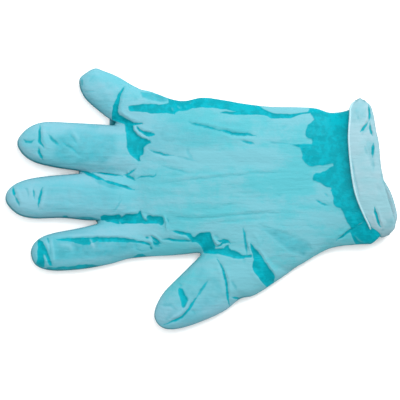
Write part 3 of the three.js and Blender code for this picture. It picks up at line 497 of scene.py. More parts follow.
# Soft shading of the cuff where its film doubles, as the hand's patches
CUFF_PATCHES = [
    ("upper end", [
        (86, 46), (87, 54), (91, 58.5), (97, 60), (102, 55), (104, 46), (103, 40), (96, 42),
    ], 3.5, 0, 0.38),
    ("beside the crease", [
        (92, 44), (92.6, 48), (94.6, 52.4), (97, 54.6), (98.4, 53), (97, 48.6), (95, 45.4),
        (93.4, 43),
    ], 1.6, 0.4, 0.42),
    ("right of the crease", [
        (100, 52), (101.4, 50), (102.6, 44), (103, 39), (101.8, 38), (100.6, 42), (100, 47),
    ], 0.8, 0.2, 0.5),
    ("under the branches", [
        (94.6, 41), (97, 42.6), (99.2, 44.6), (99.6, 42), (98, 39.6), (95.4, 38.6),
    ], 0.9, 0.3, 0.45),
    ("dimple", [
        (97.4, 34), (98.6, 35.4), (101.6, 34), (103.2, 29), (103, 22), (102, 15), (100.8, 16),
        (99.6, 22), (98, 27), (97, 31),
    ], 1.7, 0.5, 0.42),
    ("lower end", [
        (108, -11.4), (111, -12), (115, -11), (115.6, -15), (113, -18), (109, -19), (107.6, -17),
        (109, -14.6),
    ], 1.8, 0.3, 0.42),
    ("outer band", [
        (106.4, 17), (107.6, 14.4), (109.4, 9), (111.6, 4), (113, 0), (112, -2), (109.6, 4),
        (107.6, 9), (106, 13.6),
    ], 0.9, 0.2, 0.55),
    ("bead's foot", [
        (97, -9), (99, -13), (101.4, -17), (104, -20.4), (107, -22.2), (107, -24), (102.6, -21),
        (99, -16.4), (96.6, -11.4),
    ], 0.5, 0.3, 0.85),
]


def hermite(table, index, t):
    """The value at t of a table's column, smooth between the rows, whose column 0 holds the places."""
    i = 0
    while i < len(table) - 2 and t > table[i + 1][0]:
        i += 1
    before, after = table[max(i - 1, 0)], table[min(i + 2, len(table) - 1)]
    a, b = table[i], table[i + 1]
    span = b[0] - a[0]
    s = min(max((t - a[0]) / span, 0), 1)
    slope_a = (b[index] - before[index]) / (b[0] - before[0]) * span
    slope_b = (after[index] - a[index]) / (after[0] - a[0]) * span
    rise = (2 * s**3 - 3 * s**2 + 1) * a[index] + (3 * s**2 - 2 * s**3) * b[index]
    return rise + (s**3 - 2 * s**2 + s) * slope_a + (s**3 - s**2) * slope_b


def smooth(low, high, value):
    """0 below low, 1 above high, and a smooth step between."""
    s = np.clip((np.asarray(value, float) - low) / (high - low), 0, 1)
    return s * s * (3 - 2 * s)


def section(left, right, foot, height, top_steps, floor_steps):
    """One section of slack film as rows of across and up, over the top and back underneath."""
    half, middle = (left - right) / 2, (left + right) / 2
    top = np.cos(np.linspace(0, math.pi, top_steps, endpoint=False))
    under = -np.cos(np.linspace(0, math.pi, floor_steps, endpoint=False))
    across = np.concatenate([top, under])
    crown = np.sqrt(np.maximum(0, 1 - np.abs(across) ** CROWN_POWER))
    over = EDGE_HEIGHT + (1 - EDGE_HEIGHT) * crown
    below = EDGE_HEIGHT * (1 - np.minimum(1, FLOOR_FLATNESS * crown))
    up = np.where(np.arange(len(across)) < top_steps, over, below)
    return np.stack([middle + half * across, foot + height * up], axis=1)


def between_rings(first, second, count):
    """The faces between two rings of corners, from each ring's first corner."""
    around = [(i, (i + 1) % count) for i in range(count)]
    return [(first + i, first + j, second + j, second + i) for i, j in around]


def loft(rings):
    """The corners and faces of a closed surface through rings with as many points each."""
    count, rows = len(rings[0]), len(rings)
    corners = list(np.concatenate(rings))
    faces = []
    for r in range(rows - 1):
        faces += between_rings(r * count, (r + 1) * count, count)
    for first, ring in ((0, rings[0]), ((rows - 1) * count, rings[-1])):
        corners.append(ring.mean(axis=0))
        faces += [(first + i, first + (i + 1) % count, len(corners) - 1) for i in range(count)]
    return corners, faces


def digit_rings(name, steps=64, top_steps=40, floor_steps=24):
    """A digit's sections, from its tip to its end in the palm, closest together at the tip."""
    length, width, height, along, across, degrees = DIGITS[name]
    angle = math.radians(degrees)
    out = np.array([math.cos(angle), math.sin(angle)])
    side = np.array([out[1], -out[0]])
    base = np.array([along * HAND_LENGTH, across * PALM_WIDTH])
    outline = [(0, 0, 0)] + [(math.sqrt(t), a, b) for t, a, b in DIGIT_OUTLINES[name]]
    rings = []
    for step in range(1, steps + 1):
        share = step / steps
        from_tip = share**2
        risen = min(1, math.sqrt(from_tip * length / (TIP_ROUNDING * height)))
        root = 1 - ROOT_DROP * float(smooth(0.8, 1, from_tip))
        tall = height * math.sqrt(1 - (1 - risen) ** 2) * root
        left = hermite(outline, 1, share) * width
        right = -hermite(outline, 2, share) * width
        points = section(left, right, 0, tall, top_steps, floor_steps)
        plan = base + out * length * (1 - from_tip) + np.outer(points[:, 0], side)
        rings.append(np.column_stack([plan, points[:, 1]]))
    return rings


def palm_section(along, top_steps, floor_steps):
    """The palm's or wrist's section at a share of the hand's length."""
    palm = [hermite(PALM_OUTLINE, k, along) for k in (1, 2, 3)]
    palm = np.array(palm) * [PALM_WIDTH, PALM_WIDTH, PALM_HEIGHT]
    mouth = np.array([MOUTH_CENTRE + MOUTH_WIDTH / 2, MOUTH_CENTRE - MOUTH_WIDTH / 2, MOUTH_HEIGHT])
    left, right, height = palm + (mouth - palm) * float(smooth(PALM_OUTLINE[-1][0], 1, along))
    lift = 2 * FOLD_RADIUS * float(smooth(LIFT_FROM, 1, along))
    return section(left, right, lift, height, top_steps, floor_steps)


def across_to_turn(across):
    """How far round a section a place across it lies, both from -1 to 1, as in the solid model."""
    turn = np.linspace(-1, 1, 401)
    spaced = EVEN_SPACING * turn + (1 - EVEN_SPACING) * np.sin(math.pi / 2 * turn)
    return np.interp(across, spaced, turn)


def round_the_mouth(top_steps, floor_steps):
    """Degrees round the mouth of each of a section's points."""
    halves = []
    for first, steps in ((0, top_steps), (180, floor_steps)):
        across = np.cos(math.pi * np.linspace(0, 1, steps, endpoint=False))
        halves.append(first + (1 - across_to_turn(across)) / 2 * 180)
    return np.concatenate(halves)


def cuff_row(degrees):
    """Reach of the fold in X, length turned back and flare at a place round the mouth."""
    table = [(d + turn, *row) for turn in (-360, 0, 360) for d, *row in CUFF_OUTLINE]
    reach, back, flare = (hermite(table, k, degrees % 360) for k in (1, 2, 3))
    return HAND_LENGTH + reach * CUFF_REACH, back * TURN_BACK, flare * CUFF_FLARE


def palm_rings(steps=120, top_steps=90, floor_steps=50):
    """The palm's and wrist's sections, which slant near the mouth to follow the cuff's fold."""
    turns = round_the_mouth(top_steps, floor_steps)
    ends = np.array([cuff_row(d)[0] - FOLD_RADIUS - 1 for d in turns])
    rings = []
    for step in range(steps + 1):
        along = step / steps
        points = palm_section(along, top_steps, floor_steps)
        slant = float(smooth(SLANT_FROM, 1, along))
        x = along * HAND_LENGTH + slant * (ends - HAND_LENGTH)
        rings.append(np.column_stack([x, points]))
    rings.append(rings[-1] + [BODY_PAST_MOUTH, 0, 0])
    return rings


def web_rings(x, y, along, across, height, steps=24):
    """A low rounded pad of film that joins two digits where they part."""
    turns = np.linspace(0, 2 * math.pi, steps, endpoint=False)
    rings = []
    for rise in np.linspace(0, 1, 9)[1:-1]:
        wide = math.sin(math.pi * rise) ** 0.5
        rings.append(np.column_stack([
            x + along * wide * np.cos(turns), y + across * wide * np.sin(turns),
            np.full(steps, height * rise),
        ]))
    return rings


def mesh_of(name, corners, faces):
    """A mesh whose faces all look outward."""
    mesh = bpy.data.meshes.new(name)
    mesh.from_pydata([tuple(c) for c in corners], [], faces)
    work = bmesh.new()
    work.from_mesh(mesh)
    bmesh.ops.recalc_face_normals(work, faces=work.faces)
    work.to_mesh(mesh)
    work.free()
    return mesh


def corners_of(mesh):
    co = np.empty(len(mesh.vertices) * 3)
    mesh.vertices.foreach_get("co", co)
    return co.reshape(-1, 3)


def set_corners(mesh, corners):
    mesh.vertices.foreach_set("co", np.ascontiguousarray(corners, dtype=np.float64).ravel())
    mesh.update()


def normals_of(mesh):
    normals = np.empty(len(mesh.vertices) * 3)
    mesh.vertices.foreach_get("normal", normals)
    return normals.reshape(-1, 3)


def neighbours(mesh):
    """The two corners of each edge, and how many edges meet at each corner."""
    edges = np.empty(len(mesh.edges) * 2, dtype=np.int64)
    mesh.edges.foreach_get("vertices", edges)
    a, b = edges.reshape(-1, 2).T
    number = len(mesh.vertices)
    return a, b, np.maximum(np.bincount(a, minlength=number) + np.bincount(b, minlength=number), 1)


def around_sum(values, a, b):
    """For each corner, the sum of its neighbours' values."""
    return np.bincount(a, values[b], len(values)) + np.bincount(b, values[a], len(values))


def relaxed(mesh, corners, rounds, strength=0.5):
    """Corners moved towards the mean of their neighbours, then back a little to keep their fullness."""
    a, b, count = neighbours(mesh)
    out = corners.copy()
    for turn in range(rounds * 2):
        way = strength if turn % 2 == 0 else -0.94 * strength
        for axis in range(3):
            line = out[:, axis]
            out[:, axis] = line + (around_sum(line, a, b) / count - line) * way
    return out


def levelled(mesh, heights, share, rounds):
    """Heights drawn towards the mean of their neighbours where the share is above 0."""
    a, b, count = neighbours(mesh)
    out = heights.copy()
    for _ in range(rounds):
        out += (around_sum(out, a, b) / count - out) * share
    return out


def applied(obj):
    """Work an object's modifiers into its mesh, and give the mesh."""
    graph = bpy.context.evaluated_depsgraph_get()
    mesh = bpy.data.meshes.new_from_object(obj.evaluated_get(graph))
    obj.modifiers.clear()
    old, obj.data = obj.data, mesh
    bpy.data.meshes.remove(old)
    return mesh


def slack(points, scale, seed, stretch=1.0):
    """Soft random unevenness between -1 and 1 over the plan, longer along X where it is stretched."""
    return np.array([
        noise.noise(Vector((x / (scale * stretch), y / scale, seed))) for x, y in points
    ])


def to_route(points, route):
    """Each point's distance from a line, and how near the line's closer end it is, as a share."""
    legs = np.array(route, float)
    spans = np.linalg.norm(np.diff(legs, axis=0), axis=1)
    done = np.concatenate([[0], np.cumsum(spans)]) / spans.sum()
    near = np.full(len(points), 1e9)
    to_end = np.zeros(len(points))
    for k, span in enumerate(spans):
        run = legs[k + 1] - legs[k]
        t = np.clip(((points - legs[k]) @ run) / span**2, 0, 1)
        off = np.linalg.norm(points - legs[k] - t[:, None] * run, axis=1)
        share = done[k] + t * (done[k + 1] - done[k])
        to_end = np.where(off < near, np.minimum(share, 1 - share), to_end)
        near = np.minimum(off, near)
    return near, to_end


def inside(points, outline):
    """Each point's distance inside an outline, below 0 outside it."""
    loop = np.array(outline + outline[:1], float)
    near, _ = to_route(points, loop)
    within = np.zeros(len(points), bool)
    x, y = points.T
    for (x0, y0), (x1, y1) in zip(loop[:-1], loop[1:]):
        if y0 != y1:
            cuts = (y0 > y) != (y1 > y)
            within ^= cuts & (x < (x1 - x0) * (y - y0) / (y1 - y0) + x0)
    return np.where(within, near, -near)


def near_to(points, outline, reach):
    """Which points lie in an outline's box, grown by a reach."""
    corners = np.array(outline, float)
    low, high = corners.min(axis=0) - reach, corners.max(axis=0) + reach
    return np.flatnonzero(np.all((points > low) & (points < high), axis=1))


def relief(points, folds, patches=()):
    """For each point of the plan: how far the film sinks in millimetres, and its tint.

    The lines wander a little off their tables, and each fades towards its two ends.
    """
    wander = np.column_stack([
        0.3 * slack(points, 5, 3.1) + 0.3 * slack(points, 2.2, 4.7),
        0.3 * slack(points, 5, 9.7) + 0.3 * slack(points, 2.2, 6.9),
    ])
    plan = points + wander
    valley, ridge, tint, painted_highlight = (np.zeros(len(points)) for _ in range(4))
    for _, outline, soft, depth, colour in patches:
        some = near_to(plan, outline, 3)
        within = inside(plan[some], outline)
        valley[some] = np.maximum(valley[some], depth * smooth(-0.6, 1.3, within))
        # Patches tint deeper: doubled or clinging film, and painted shade in dents and folds
        tint[some] = np.maximum(tint[some], colour * smooth(-soft, soft, within))
    for _, route, half, depth, colour in folds:
        some = near_to(plan, route, 4 * half)
        near, to_end = to_route(plan[some], route)
        taper = 0.4 + 0.6 * smooth(0, 0.3, to_end)  # narrow at its ends, full from 0.3 of its length
        profile = np.exp(-((near / half) ** 1.5)) * taper
        if depth >= 0:
            valley[some] = np.maximum(valley[some], depth * profile)
        else:
            ridge[some] = np.maximum(ridge[some], -depth * profile)
        # A crease's tint: doubled film, and painted shade along its valley
        if colour >= 0:
            line = smooth(1.55, 0.35, near / (half * taper)) * (0.5 + 0.5 * taper)
            tint[some] = np.maximum(tint[some], colour * line)
        else:
            # A ridge's painted highlight: paler film along its crest
            painted_highlight[some] = np.maximum(painted_highlight[some], -colour * profile)
    return RELIEF * (VALLEY * valley - ridge), tint - painted_highlight


def give(mesh, name, values):
    """Keep one number for each of a mesh's corners, for its material to read."""
    layer = mesh.attributes.new(name, "FLOAT", "POINT")
    layer.data.foreach_set("value", np.ascontiguousarray(values, dtype=np.float32))


def new_object(name, mesh):
    """A mesh's object, in the scene."""
    obj = bpy.data.objects.new(name, mesh)
    bpy.context.scene.collection.objects.link(obj)
    return obj


def drop_corners(mesh, gone):
    """Take corners out of a mesh, with their faces."""
    work = bmesh.new()
    work.from_mesh(mesh)
    work.verts.ensure_lookup_table()
    bmesh.ops.delete(work, geom=[work.verts[i] for i in np.flatnonzero(gone)], context="VERTS")
    work.to_mesh(mesh)
    work.free()


def past_the_mouth(at):
    """Which corners, still in the built place, lie beyond the wrist's end inside the cuff's fold."""
    half = MOUTH_WIDTH / 2
    turn = across_to_turn(np.clip((at[:, 1] - MOUTH_CENTRE) / half, -1, 1))
    on_top = at[:, 2] > 2 * FOLD_RADIUS + EDGE_HEIGHT * MOUTH_HEIGHT
    degrees = np.where(on_top, 90 * (1 - turn), 180 + 90 * (1 + turn))
    places = np.arange(0, 361, 3)
    reach = np.array([cuff_row(d)[0] for d in places])
    return at[:, 0] > np.interp(degrees, places, reach) - FOLD_RADIUS - WRIST_SHORT_BY


def join_hand():
    """The digits, palm, wrist and webs in one closed skin, still in the built place."""
    corners, faces = [], []
    webs = [web_rings(*row) for row in WEBS]
    for rings in [palm_rings()] + [digit_rings(name) for name in DIGITS] + webs:
        more, around = loft(rings)
        faces += [tuple(i + len(corners) for i in face) for face in around]
        corners += more
    hand = new_object("hand_film", mesh_of("hand_film", np.array(corners) * MM, faces))
    skin = hand.modifiers.new("one skin", "REMESH")
    skin.mode = "VOXEL"
    skin.voxel_size = VOXEL * MM
    applied(hand)
    return hand


def soften_joins(mesh):
    """Smooth the skin, most between the fingers' roots, and give its corners in millimetres."""
    at = relaxed(mesh, corners_of(mesh) / MM, SMOOTHING)
    at[:, 2] = np.maximum(at[:, 2], 0)
    set_corners(mesh, at * MM)
    x, y, _ = at.T
    up = normals_of(mesh)[:, 2]
    # the film on top by the fingers' roots, and all of the walls between them
    knuckles = smooth(-18, -6, x) * smooth(38, 22, x)
    between = smooth(-31, -27, y) * smooth(46, 42, y)
    crotches = between * smooth(-34, -24, x) * smooth(24, 8, x)
    free = np.maximum(knuckles * smooth(0.35, 0.7, up), crotches * smooth(-0.6, -0.2, up))
    at[:, 2] = levelled(mesh, at[:, 2], 0.8 * free, KNUCKLE_ROUNDS)
    set_corners(mesh, at * MM)
    return at


def thin_underneath(hand, at):
    """Take out most of the faces of the flat film underneath."""
    under = smooth(-0.3, -0.7, normals_of(hand.data)[:, 2]) * smooth(3.0, 1.0, at[:, 2])
    group = hand.vertex_groups.new(name="underneath")
    for i in np.flatnonzero(under > 0.05):
        group.add([int(i)], float(under[i]), "REPLACE")
    thin = hand.modifiers.new("fewer faces underneath", "DECIMATE")
    thin.vertex_group = group.name
    thin.ratio = FACES_KEPT
    applied(hand)
    hand.vertex_groups.clear()


def crease_hand(mesh):
    """Crease the film on top and let it lift a little underneath. Gives its plan and its tint."""
    at = corners_of(mesh) / MM - CENTRE
    at[:, 2] = np.maximum(at[:, 2], LOWEST)
    set_corners(mesh, at * MM)
    up = normals_of(mesh)[:, 2]
    plan = at[:, :2]
    sink, tint = relief(plan, HAND_FOLDS, HAND_PATCHES)
    soft = 0.45 * slack(plan, 19, 5.5, 1.5) + 0.2 * slack(plan, 7, 8.5, 2.2)
    rest = np.minimum(FOLDS_REST, at[:, 2])
    at[:, 2] = np.maximum(at[:, 2] - smooth(0.12, 0.6, up) * (sink + soft), rest)
    lifted = smooth(-0.4, -0.9, up) * smooth(1.2, 0.2, at[:, 2])
    at[:, 2] += lifted * np.maximum(0, 0.8 * slack(plan, 14, 2.5))
    set_corners(mesh, at * MM)
    return plan, tint


def make_hand():
    """The film of the fingers, palm and wrist, as one open sheet that lies flat underneath."""
    hand = join_hand()
    thin_underneath(hand, soften_joins(hand.data))
    mesh = hand.data
    drop_corners(mesh, past_the_mouth(corners_of(mesh) / MM))
    plan, tint = crease_hand(mesh)
    mesh.shade_smooth()
    mesh.set_sharp_from_angle(angle=SHARP_EDGE)

    # What the material reads: creased and clinging film with painted shade in the creases, painted
    # shade at the edges, and painted light that makes the fingers and thumb paler
    x, y = plan.T
    ragged = 0.5 * slack(plan, 2.6, 4.4) + 0.6 * slack(plan, 7, 6.1)
    give(mesh, "tint", tint)
    give(mesh, "cling", smooth(-0.7, 0.7, inside(plan, CLING) + ragged))
    ways = normals_of(mesh)
    up = ways[:, 2]
    # Painted shade at the edges: darker where the film turns down, most on the sides that face down and
    # left, away from the key light
    painted_shade_side = smooth(0.1, 0.8, -0.7 * ways[:, 0] - 0.7 * ways[:, 1])
    edge = np.maximum(0.6 * smooth(0.62, 0.12, up), 1.25 * painted_shade_side * smooth(0.66, 0.36, up))
    give(mesh, "rim", edge * (0.25 + 0.75 * smooth(-0.5, 0.1, up)))
    # Painted light: the fingers and thumb are made paler, as if more light fell on them
    on_digits = 0.8 * smooth(10, -75, x) * smooth(-46, -38, y)
    give(mesh, "light", np.maximum(on_digits, smooth(-54, -68, y)))
    return hand


def cuff_midline(back, flare):
    """The turned cuff's film from inside the wrist, round the fold, to where its bead begins."""
    within, outside = -0.45, 2 * FOLD_RADIUS  # the film's two layers, off the mouth's line
    radius, centre = (outside - within) / 2, (outside + within) / 2
    bead = BEAD_RADIUS * (1 + math.cos(BEAD_OPENS))
    run = max(back, radius + bead + 0.8) - radius - bead  # from the fold to the bead
    sleeve = min(SLEEVE, max(SHORT_SLEEVE, back - 1))
    line = [(-sleeve + (sleeve - radius) * t, within) for t in np.linspace(0, 1, 9)[:-1]]
    turn = np.linspace(-math.pi / 2, math.pi / 2, 15)
    line += [(radius * math.cos(a) - radius, centre + radius * math.sin(a)) for a in turn]
    for t in np.linspace(0, 1, 41)[1:]:
        # a short run puffs up more
        puff = (0.6 + 0.8 * max(0, 1 - run / 7)) * math.sin(math.pi * t)
        line.append((-radius - run * t, outside + flare * t**1.5 + puff))
    return np.array(line)


def spread(along, off, out):
    """Rows of X, Y and Z: so far along X, and so far off it, outward from the mouth."""
    return np.column_stack([along, np.outer(off, out)])


def cuff_sheet(top_steps, floor_steps):
    """The middle of the turned film, its normals there, and the way that each row's end points."""
    film = palm_section(1, top_steps, floor_steps)
    low = np.array([MOUTH_CENTRE, 2 * FOLD_RADIUS + MOUTH_HEIGHT / 2])
    mouth = low + (film - low) * np.array([1 - 1 / MOUTH_WIDTH, 1 - 1 / MOUTH_HEIGHT])
    tangent = np.roll(mouth, -1, axis=0) - np.roll(mouth, 1, axis=0)
    outward = np.column_stack([tangent[:, 1], -tangent[:, 0]])
    outward /= np.linalg.norm(outward, axis=1)[:, None]
    for _ in range(8):
        outward = np.roll(outward, 1, axis=0) + 2 * outward + np.roll(outward, -1, axis=0)
        outward /= np.linalg.norm(outward, axis=1)[:, None]
    middles, normals, ends = [], [], []
    for at, out, degrees in zip(mouth, outward, round_the_mouth(top_steps, floor_steps)):
        reach, back, flare = cuff_row(degrees)
        line = cuff_midline(back, flare)
        way = np.gradient(line, axis=0)
        way /= np.linalg.norm(way, axis=1)[:, None]
        middles.append(spread(reach + line[:, 0], line[:, 1], out) + np.array([0, *at]))
        normals.append(spread(way[:, 1], -way[:, 0], out))
        ends.append(spread(way[:, 0], way[:, 1], out)[-1])
    return np.array(middles) - CENTRE, np.array(normals), np.array(ends)


def make_cuff(top_steps=190, floor_steps=110, bead_steps=15):
    """The cuff's film turned back over the wrist, ending in its rolled bead."""
    middle, normal, way = cuff_sheet(top_steps, floor_steps)
    count, steps = middle.shape[:2]
    plan = middle[:, :, :2].reshape(-1, 2)
    sink, tint = (field.reshape(count, steps) for field in relief(plan, CUFF_FOLDS, CUFF_PATCHES))
    sink += (0.35 * slack(plan, 13, 3.3) + 0.15 * slack(plan, 5, 7.7)).reshape(count, steps)
    turned = smooth(9, 22, np.arange(steps))  # the steps that go round the fold
    on_top = smooth(0.1, 0.6, normal[:, :, 2]) * turned
    middle[:, :, 2] -= on_top * sink
    tint = tint * on_top

    outer, inner = middle + CUFF_HALF * normal, middle - CUFF_HALF * normal
    centre = middle[:, -1] + way * BEAD_RADIUS * math.cos(BEAD_OPENS)
    turns = np.linspace(BEAD_OPENS, 2 * math.pi - BEAD_OPENS, bead_steps + 2)[1:-1]
    bead = np.stack([
        centre + BEAD_RADIUS * (math.sin(a) * normal[:, -1] - math.cos(a) * way) for a in turns
    ], axis=1)
    rings = np.concatenate([outer, bead, inner[:, ::-1]], axis=1)
    rings[:, :, 2] = np.maximum(rings[:, :, 2], LOWEST)
    number = rings.shape[1]
    faces = []
    for r in range(count):
        faces += between_rings(r * number, (r + 1) % count * number, number)
    mesh = mesh_of("turned_cuff", rings.reshape(-1, 3) * MM, faces)
    cuff = new_object("turned_cuff", mesh)
    mesh.shade_smooth()
    flat, rolled = np.zeros((count, steps)), np.zeros((count, bead_steps))
    give(mesh, "tint", np.concatenate([tint, rolled, tint[:, ::-1]], axis=1).ravel())
    give(mesh, "bead", np.concatenate([flat, rolled + 1, flat], axis=1).ravel())
    # Painted shade: the cuff's film darkened where it turns down at its edges
    give(mesh, "rim", smooth(0.72, 0.15, normals_of(mesh)[:, 2]))
    return cuff


def srgb(seen):
    """A colour for a socket from its 0 to 255 values as seen."""
    shares = [value / 255 for value in seen]
    return (*(c / 12.92 if c <= 0.04045 else ((c + 0.055) / 1.055) ** 2.4 for c in shares), 1)


class Nodes:
    """Short calls that add and join a node tree's nodes."""

    def __init__(self, tree):
        self.tree = tree

    def feed(self, sockets, values):
        """Join each socket to what feeds it, or set it to its plain value."""
        for socket, value in zip(sockets, values):
            if isinstance(value, bpy.types.NodeSocket):
                self.tree.links.new(value, socket)
            else:
                socket.default_value = value

    def add(self, kind, values=None, **settings):
        """A new node with some of its sockets fed by name."""
        node = self.tree.nodes.new(kind)
        for name, value in settings.items():
            setattr(node, name, value)
        values = values or {}
        self.feed([node.inputs[name] for name in values], values.values())
        return node

    def number(self, name):
        """A number that the mesh's corners were given."""
        return self.add("ShaderNodeAttribute", attribute_name=name).outputs["Fac"]

    def math(self, operation, a, b):
        node = self.add("ShaderNodeMath", operation=operation)
        self.feed(node.inputs, (a, b))
        return node.outputs[0]

    def total(self, *shares):
        """The sum of some values, each times its weight."""
        parts = [self.math("MULTIPLY", value, weight) for value, weight in shares]
        out = parts[0]
        for part in parts[1:]:
            out = self.math("ADD", out, part)
        return out

    def mix(self, share, a, b):
        node = self.add("ShaderNodeMix", data_type="RGBA")
        self.feed([node.inputs[i] for i in (0, 6, 7)], (share, a, b))
        return node.outputs[2]

    def step(self, value, low, high):
        """0 below low, 1 above high, and a smooth step between."""
        return self.add("ShaderNodeMapRange", {
            "Value": value, "From Min": low, "From Max": high,
        }, interpolation_type="SMOOTHSTEP").outputs["Result"]

    def shift(self, colour, hue=0.5, saturation=1.0, value=1.0):
        """A colour with its hue, saturation and brightness changed."""
        return self.add("ShaderNodeHueSaturation", {
            "Hue": hue, "Saturation": saturation, "Value": value, "Color": colour,
        }).outputs["Color"]

    def noise(self, at, scale, detail=2.0, roughness=0.5):
        return self.add("ShaderNodeTexNoise", {
            "Vector": at, "Scale": scale, "Detail": detail, "Roughness": roughness,
        }).outputs["Fac"]


def film_group():
    """Dipped film: its colour where single and where doubled (also painted shade in creases), painted
    shade at its edges, its satin gloss and its fine relief.
    """
    tree = bpy.data.node_groups.new("dipped film", "ShaderNodeTree")
    for name, way, kind in (
        ("Single", "INPUT", "Color"), ("Doubled And Shaded", "INPUT", "Color"), ("Depth", "INPUT", "Float"),
        ("Wet", "INPUT", "Float"), ("Edge Shade", "INPUT", "Float"),
        ("Color", "OUTPUT", "Color"), ("Roughness", "OUTPUT", "Float"), ("Normal", "OUTPUT", "Vector"),
    ):
        tree.interface.new_socket(name, in_out=way, socket_type="NodeSocket" + kind)
    n = Nodes(tree)
    given = n.add("NodeGroupInput").outputs
    at = n.add("ShaderNodeTexCoord").outputs["Object"]
    drawn = n.add("ShaderNodeMapping", {"Vector": at, "Scale": (0.4, 1, 1)}).outputs["Vector"]
    streaked = n.add("ShaderNodeMapping", {"Vector": at, "Scale": (0.1, 1, 1)}).outputs["Vector"]
    broad = n.noise(drawn, 60, 3)
    cloudy = n.noise(at, 150, 4, 0.6)
    streaks = n.noise(streaked, 170, 3, 0.6)
    grain = n.noise(at, 900, 2, 0.6)
    ragged = n.math("MULTIPLY", n.math("SUBTRACT", cloudy, 0.5), 0.55)
    depth = n.step(n.math("ADD", given["Depth"], ragged), 0.1, 0.9)
    tone = n.total((broad, 0.5), (cloudy, 0.22), (streaks, 0.18), (grain, 0.1))
    shade = n.step(tone, 0.42, 0.57)
    single = n.mix(shade, n.shift(given["Single"], 0.493, 1.17, 0.97), given["Single"])
    mottled = n.step(n.noise(at, 230, 4, 0.62), 0.42, 0.6)
    deep, lit = (n.shift(given["Doubled And Shaded"], value=value) for value in (0.92, 1.13))
    # The doubled film's colour, which also stands for painted shade in creases and at edges
    colour = n.mix(depth, single, n.mix(mottled, deep, lit))
    # Painted shade at the edges: the colour darkened and deepened there
    colour = n.mix(given["Edge Shade"], colour, n.shift(colour, saturation=1.5, value=0.5))
    gloss = n.math("ADD", 0.36, n.math("MULTIPLY", cloudy, 0.12))
    gloss = n.math("SUBTRACT", gloss, n.math("MULTIPLY", given["Wet"], 0.08))
    crinkle = n.noise(drawn, 260, 3, 0.55)
    wet = n.math("MULTIPLY", cloudy, given["Wet"])
    height = n.total((crinkle, 1.2), (grain, 0.12), (streaks, 1.2), (wet, 0.9))
    bump = n.add("ShaderNodeBump", {"Strength": 0.8, "Distance": 0.0006, "Height": height})
    out = n.add("NodeGroupOutput", {
        "Color": colour, "Roughness": gloss, "Normal": bump.outputs["Normal"],
    })
    out.is_active_output = True
    return tree


def film_material(name, group, colours, depth_of, paler_of, wet_of):
    """Dipped film in three colours. The last three say how doubled it looks, with painted shade in
    creases and at the rim, how pale, which on the hand is painted light, and how wet.
    """
    material = bpy.data.materials.new(name)
    material.use_nodes = True
    tree = material.node_tree
    tree.nodes.clear()
    n = Nodes(tree)
    single, doubled, paler = (srgb(colour) for colour in colours)
    # The rim's number paints shade at the film's edges
    film = n.add("ShaderNodeGroup", {
        "Single": n.mix(paler_of(n), single, paler), "Doubled And Shaded": doubled, "Depth": depth_of(n),
        "Wet": wet_of(n), "Edge Shade": n.math("MULTIPLY", n.number("rim"), 0.8),
    }, node_tree=group)
    surface = n.add("ShaderNodeBsdfPrincipled", {
        "Base Color": film.outputs["Color"], "Roughness": film.outputs["Roughness"],
        "Normal": film.outputs["Normal"], "IOR": 1.45, "Specular IOR Level": 0.05,
    })
    n.add("ShaderNodeOutputMaterial", {"Surface": surface.outputs["BSDF"]})
    return material


def hand_depth(n):
    """How deep the hand's film is tinted: doubled film and painted shade in its creases, clinging film,
    and painted shade at its rim.
    """
    folds = n.math("MAXIMUM", n.number("tint"), n.number("cling"))
    return n.math("MAXIMUM", folds, n.math("MULTIPLY", n.number("rim"), 0.4))


def cuff_depth(n):
    """How deep the cuff's film is tinted: doubled film and painted shade in its creases, and painted
    shade at its rim.
    """
    folds = n.math("MULTIPLY", n.number("tint"), 0.85)
    return n.math("MAXIMUM", folds, n.math("MULTIPLY", n.number("rim"), 0.45))


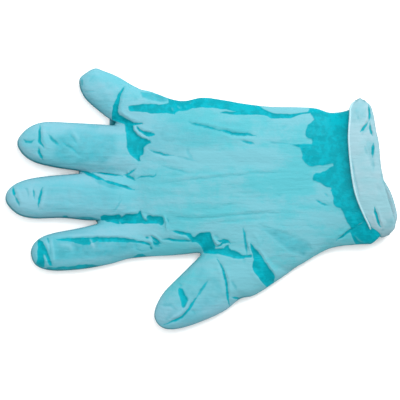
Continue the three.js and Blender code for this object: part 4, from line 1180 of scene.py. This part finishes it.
def make_floor():
    """The plain pale ground under the glove."""
    mesh = mesh_of("floor", np.array([(-3, -3, 0), (3, -3, 0), (3, 3, 0), (-3, 3, 0)]), [(0, 1, 2, 3)])
    floor = new_object("floor", mesh)
    material = bpy.data.materials.new("pale studio floor")
    material.use_nodes = True
    n = Nodes(material.node_tree)
    at = n.add("ShaderNodeTexCoord").outputs["Object"]
    tone = n.mix(n.noise(at, 3), (0.95, 0.95, 0.95, 1), (0.97, 0.97, 0.97, 1))
    surface = material.node_tree.nodes["Principled BSDF"].inputs
    n.feed((surface["Base Color"], surface["Roughness"]), (tone, 0.9))
    mesh.materials.append(material)
    return floor


def area_light(name, place, size, power):
    """A round soft light that shines on the glove's middle."""
    data = bpy.data.lights.new(name, "AREA")
    data.shape, data.size, data.energy = "DISK", size, power
    light = bpy.data.objects.new(name, data)
    light.location = place
    light.rotation_euler = (-Vector(place)).to_track_quat("-Z", "Y").to_euler()
    bpy.context.scene.collection.objects.link(light)


def make_studio():
    """White surroundings, two soft lights, and a camera that looks straight down on the glove."""
    scene = bpy.context.scene
    scene.view_settings.view_transform = "Standard"
    world = bpy.data.worlds.new("studio")
    world.use_nodes = True
    back = world.node_tree.nodes["Background"]
    back.inputs["Color"].default_value = (1, 1, 1, 1)
    back.inputs["Strength"].default_value = 0.7
    scene.world = world
    area_light("key", (0.42, 0.72, 0.8), 0.9, 15)
    area_light("overhead", (-0.2, 0.1, 1.25), 1.3, 10)

    lens = bpy.data.cameras.new("camera")
    lens.lens, lens.sensor_width = 250, 36
    camera = bpy.data.objects.new("camera", lens)
    away = VIEW_WIDTH * lens.lens / lens.sensor_width
    camera.location = (-0.0012, -0.00075, VIEW_HEIGHT + away)
    scene.collection.objects.link(camera)
    scene.camera = camera


group = film_group()
hand = make_hand()
# The hand's paler colour, read from its light number, is painted light on the fingers and thumb
hand.data.materials.append(film_material(
    "nitrile film", group, HAND_COLOURS, hand_depth,
    lambda n: n.number("light"), lambda n: n.number("cling"),
))
cuff = make_cuff()
cuff.data.materials.append(film_material(
    "nitrile film, inside", group, CUFF_COLOURS, cuff_depth,
    lambda n: n.number("bead"), lambda n: 0.0,
))
floor = make_floor()
make_studio()
for piece in (hand, cuff):
    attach(piece, "root")
    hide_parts("glove_film")
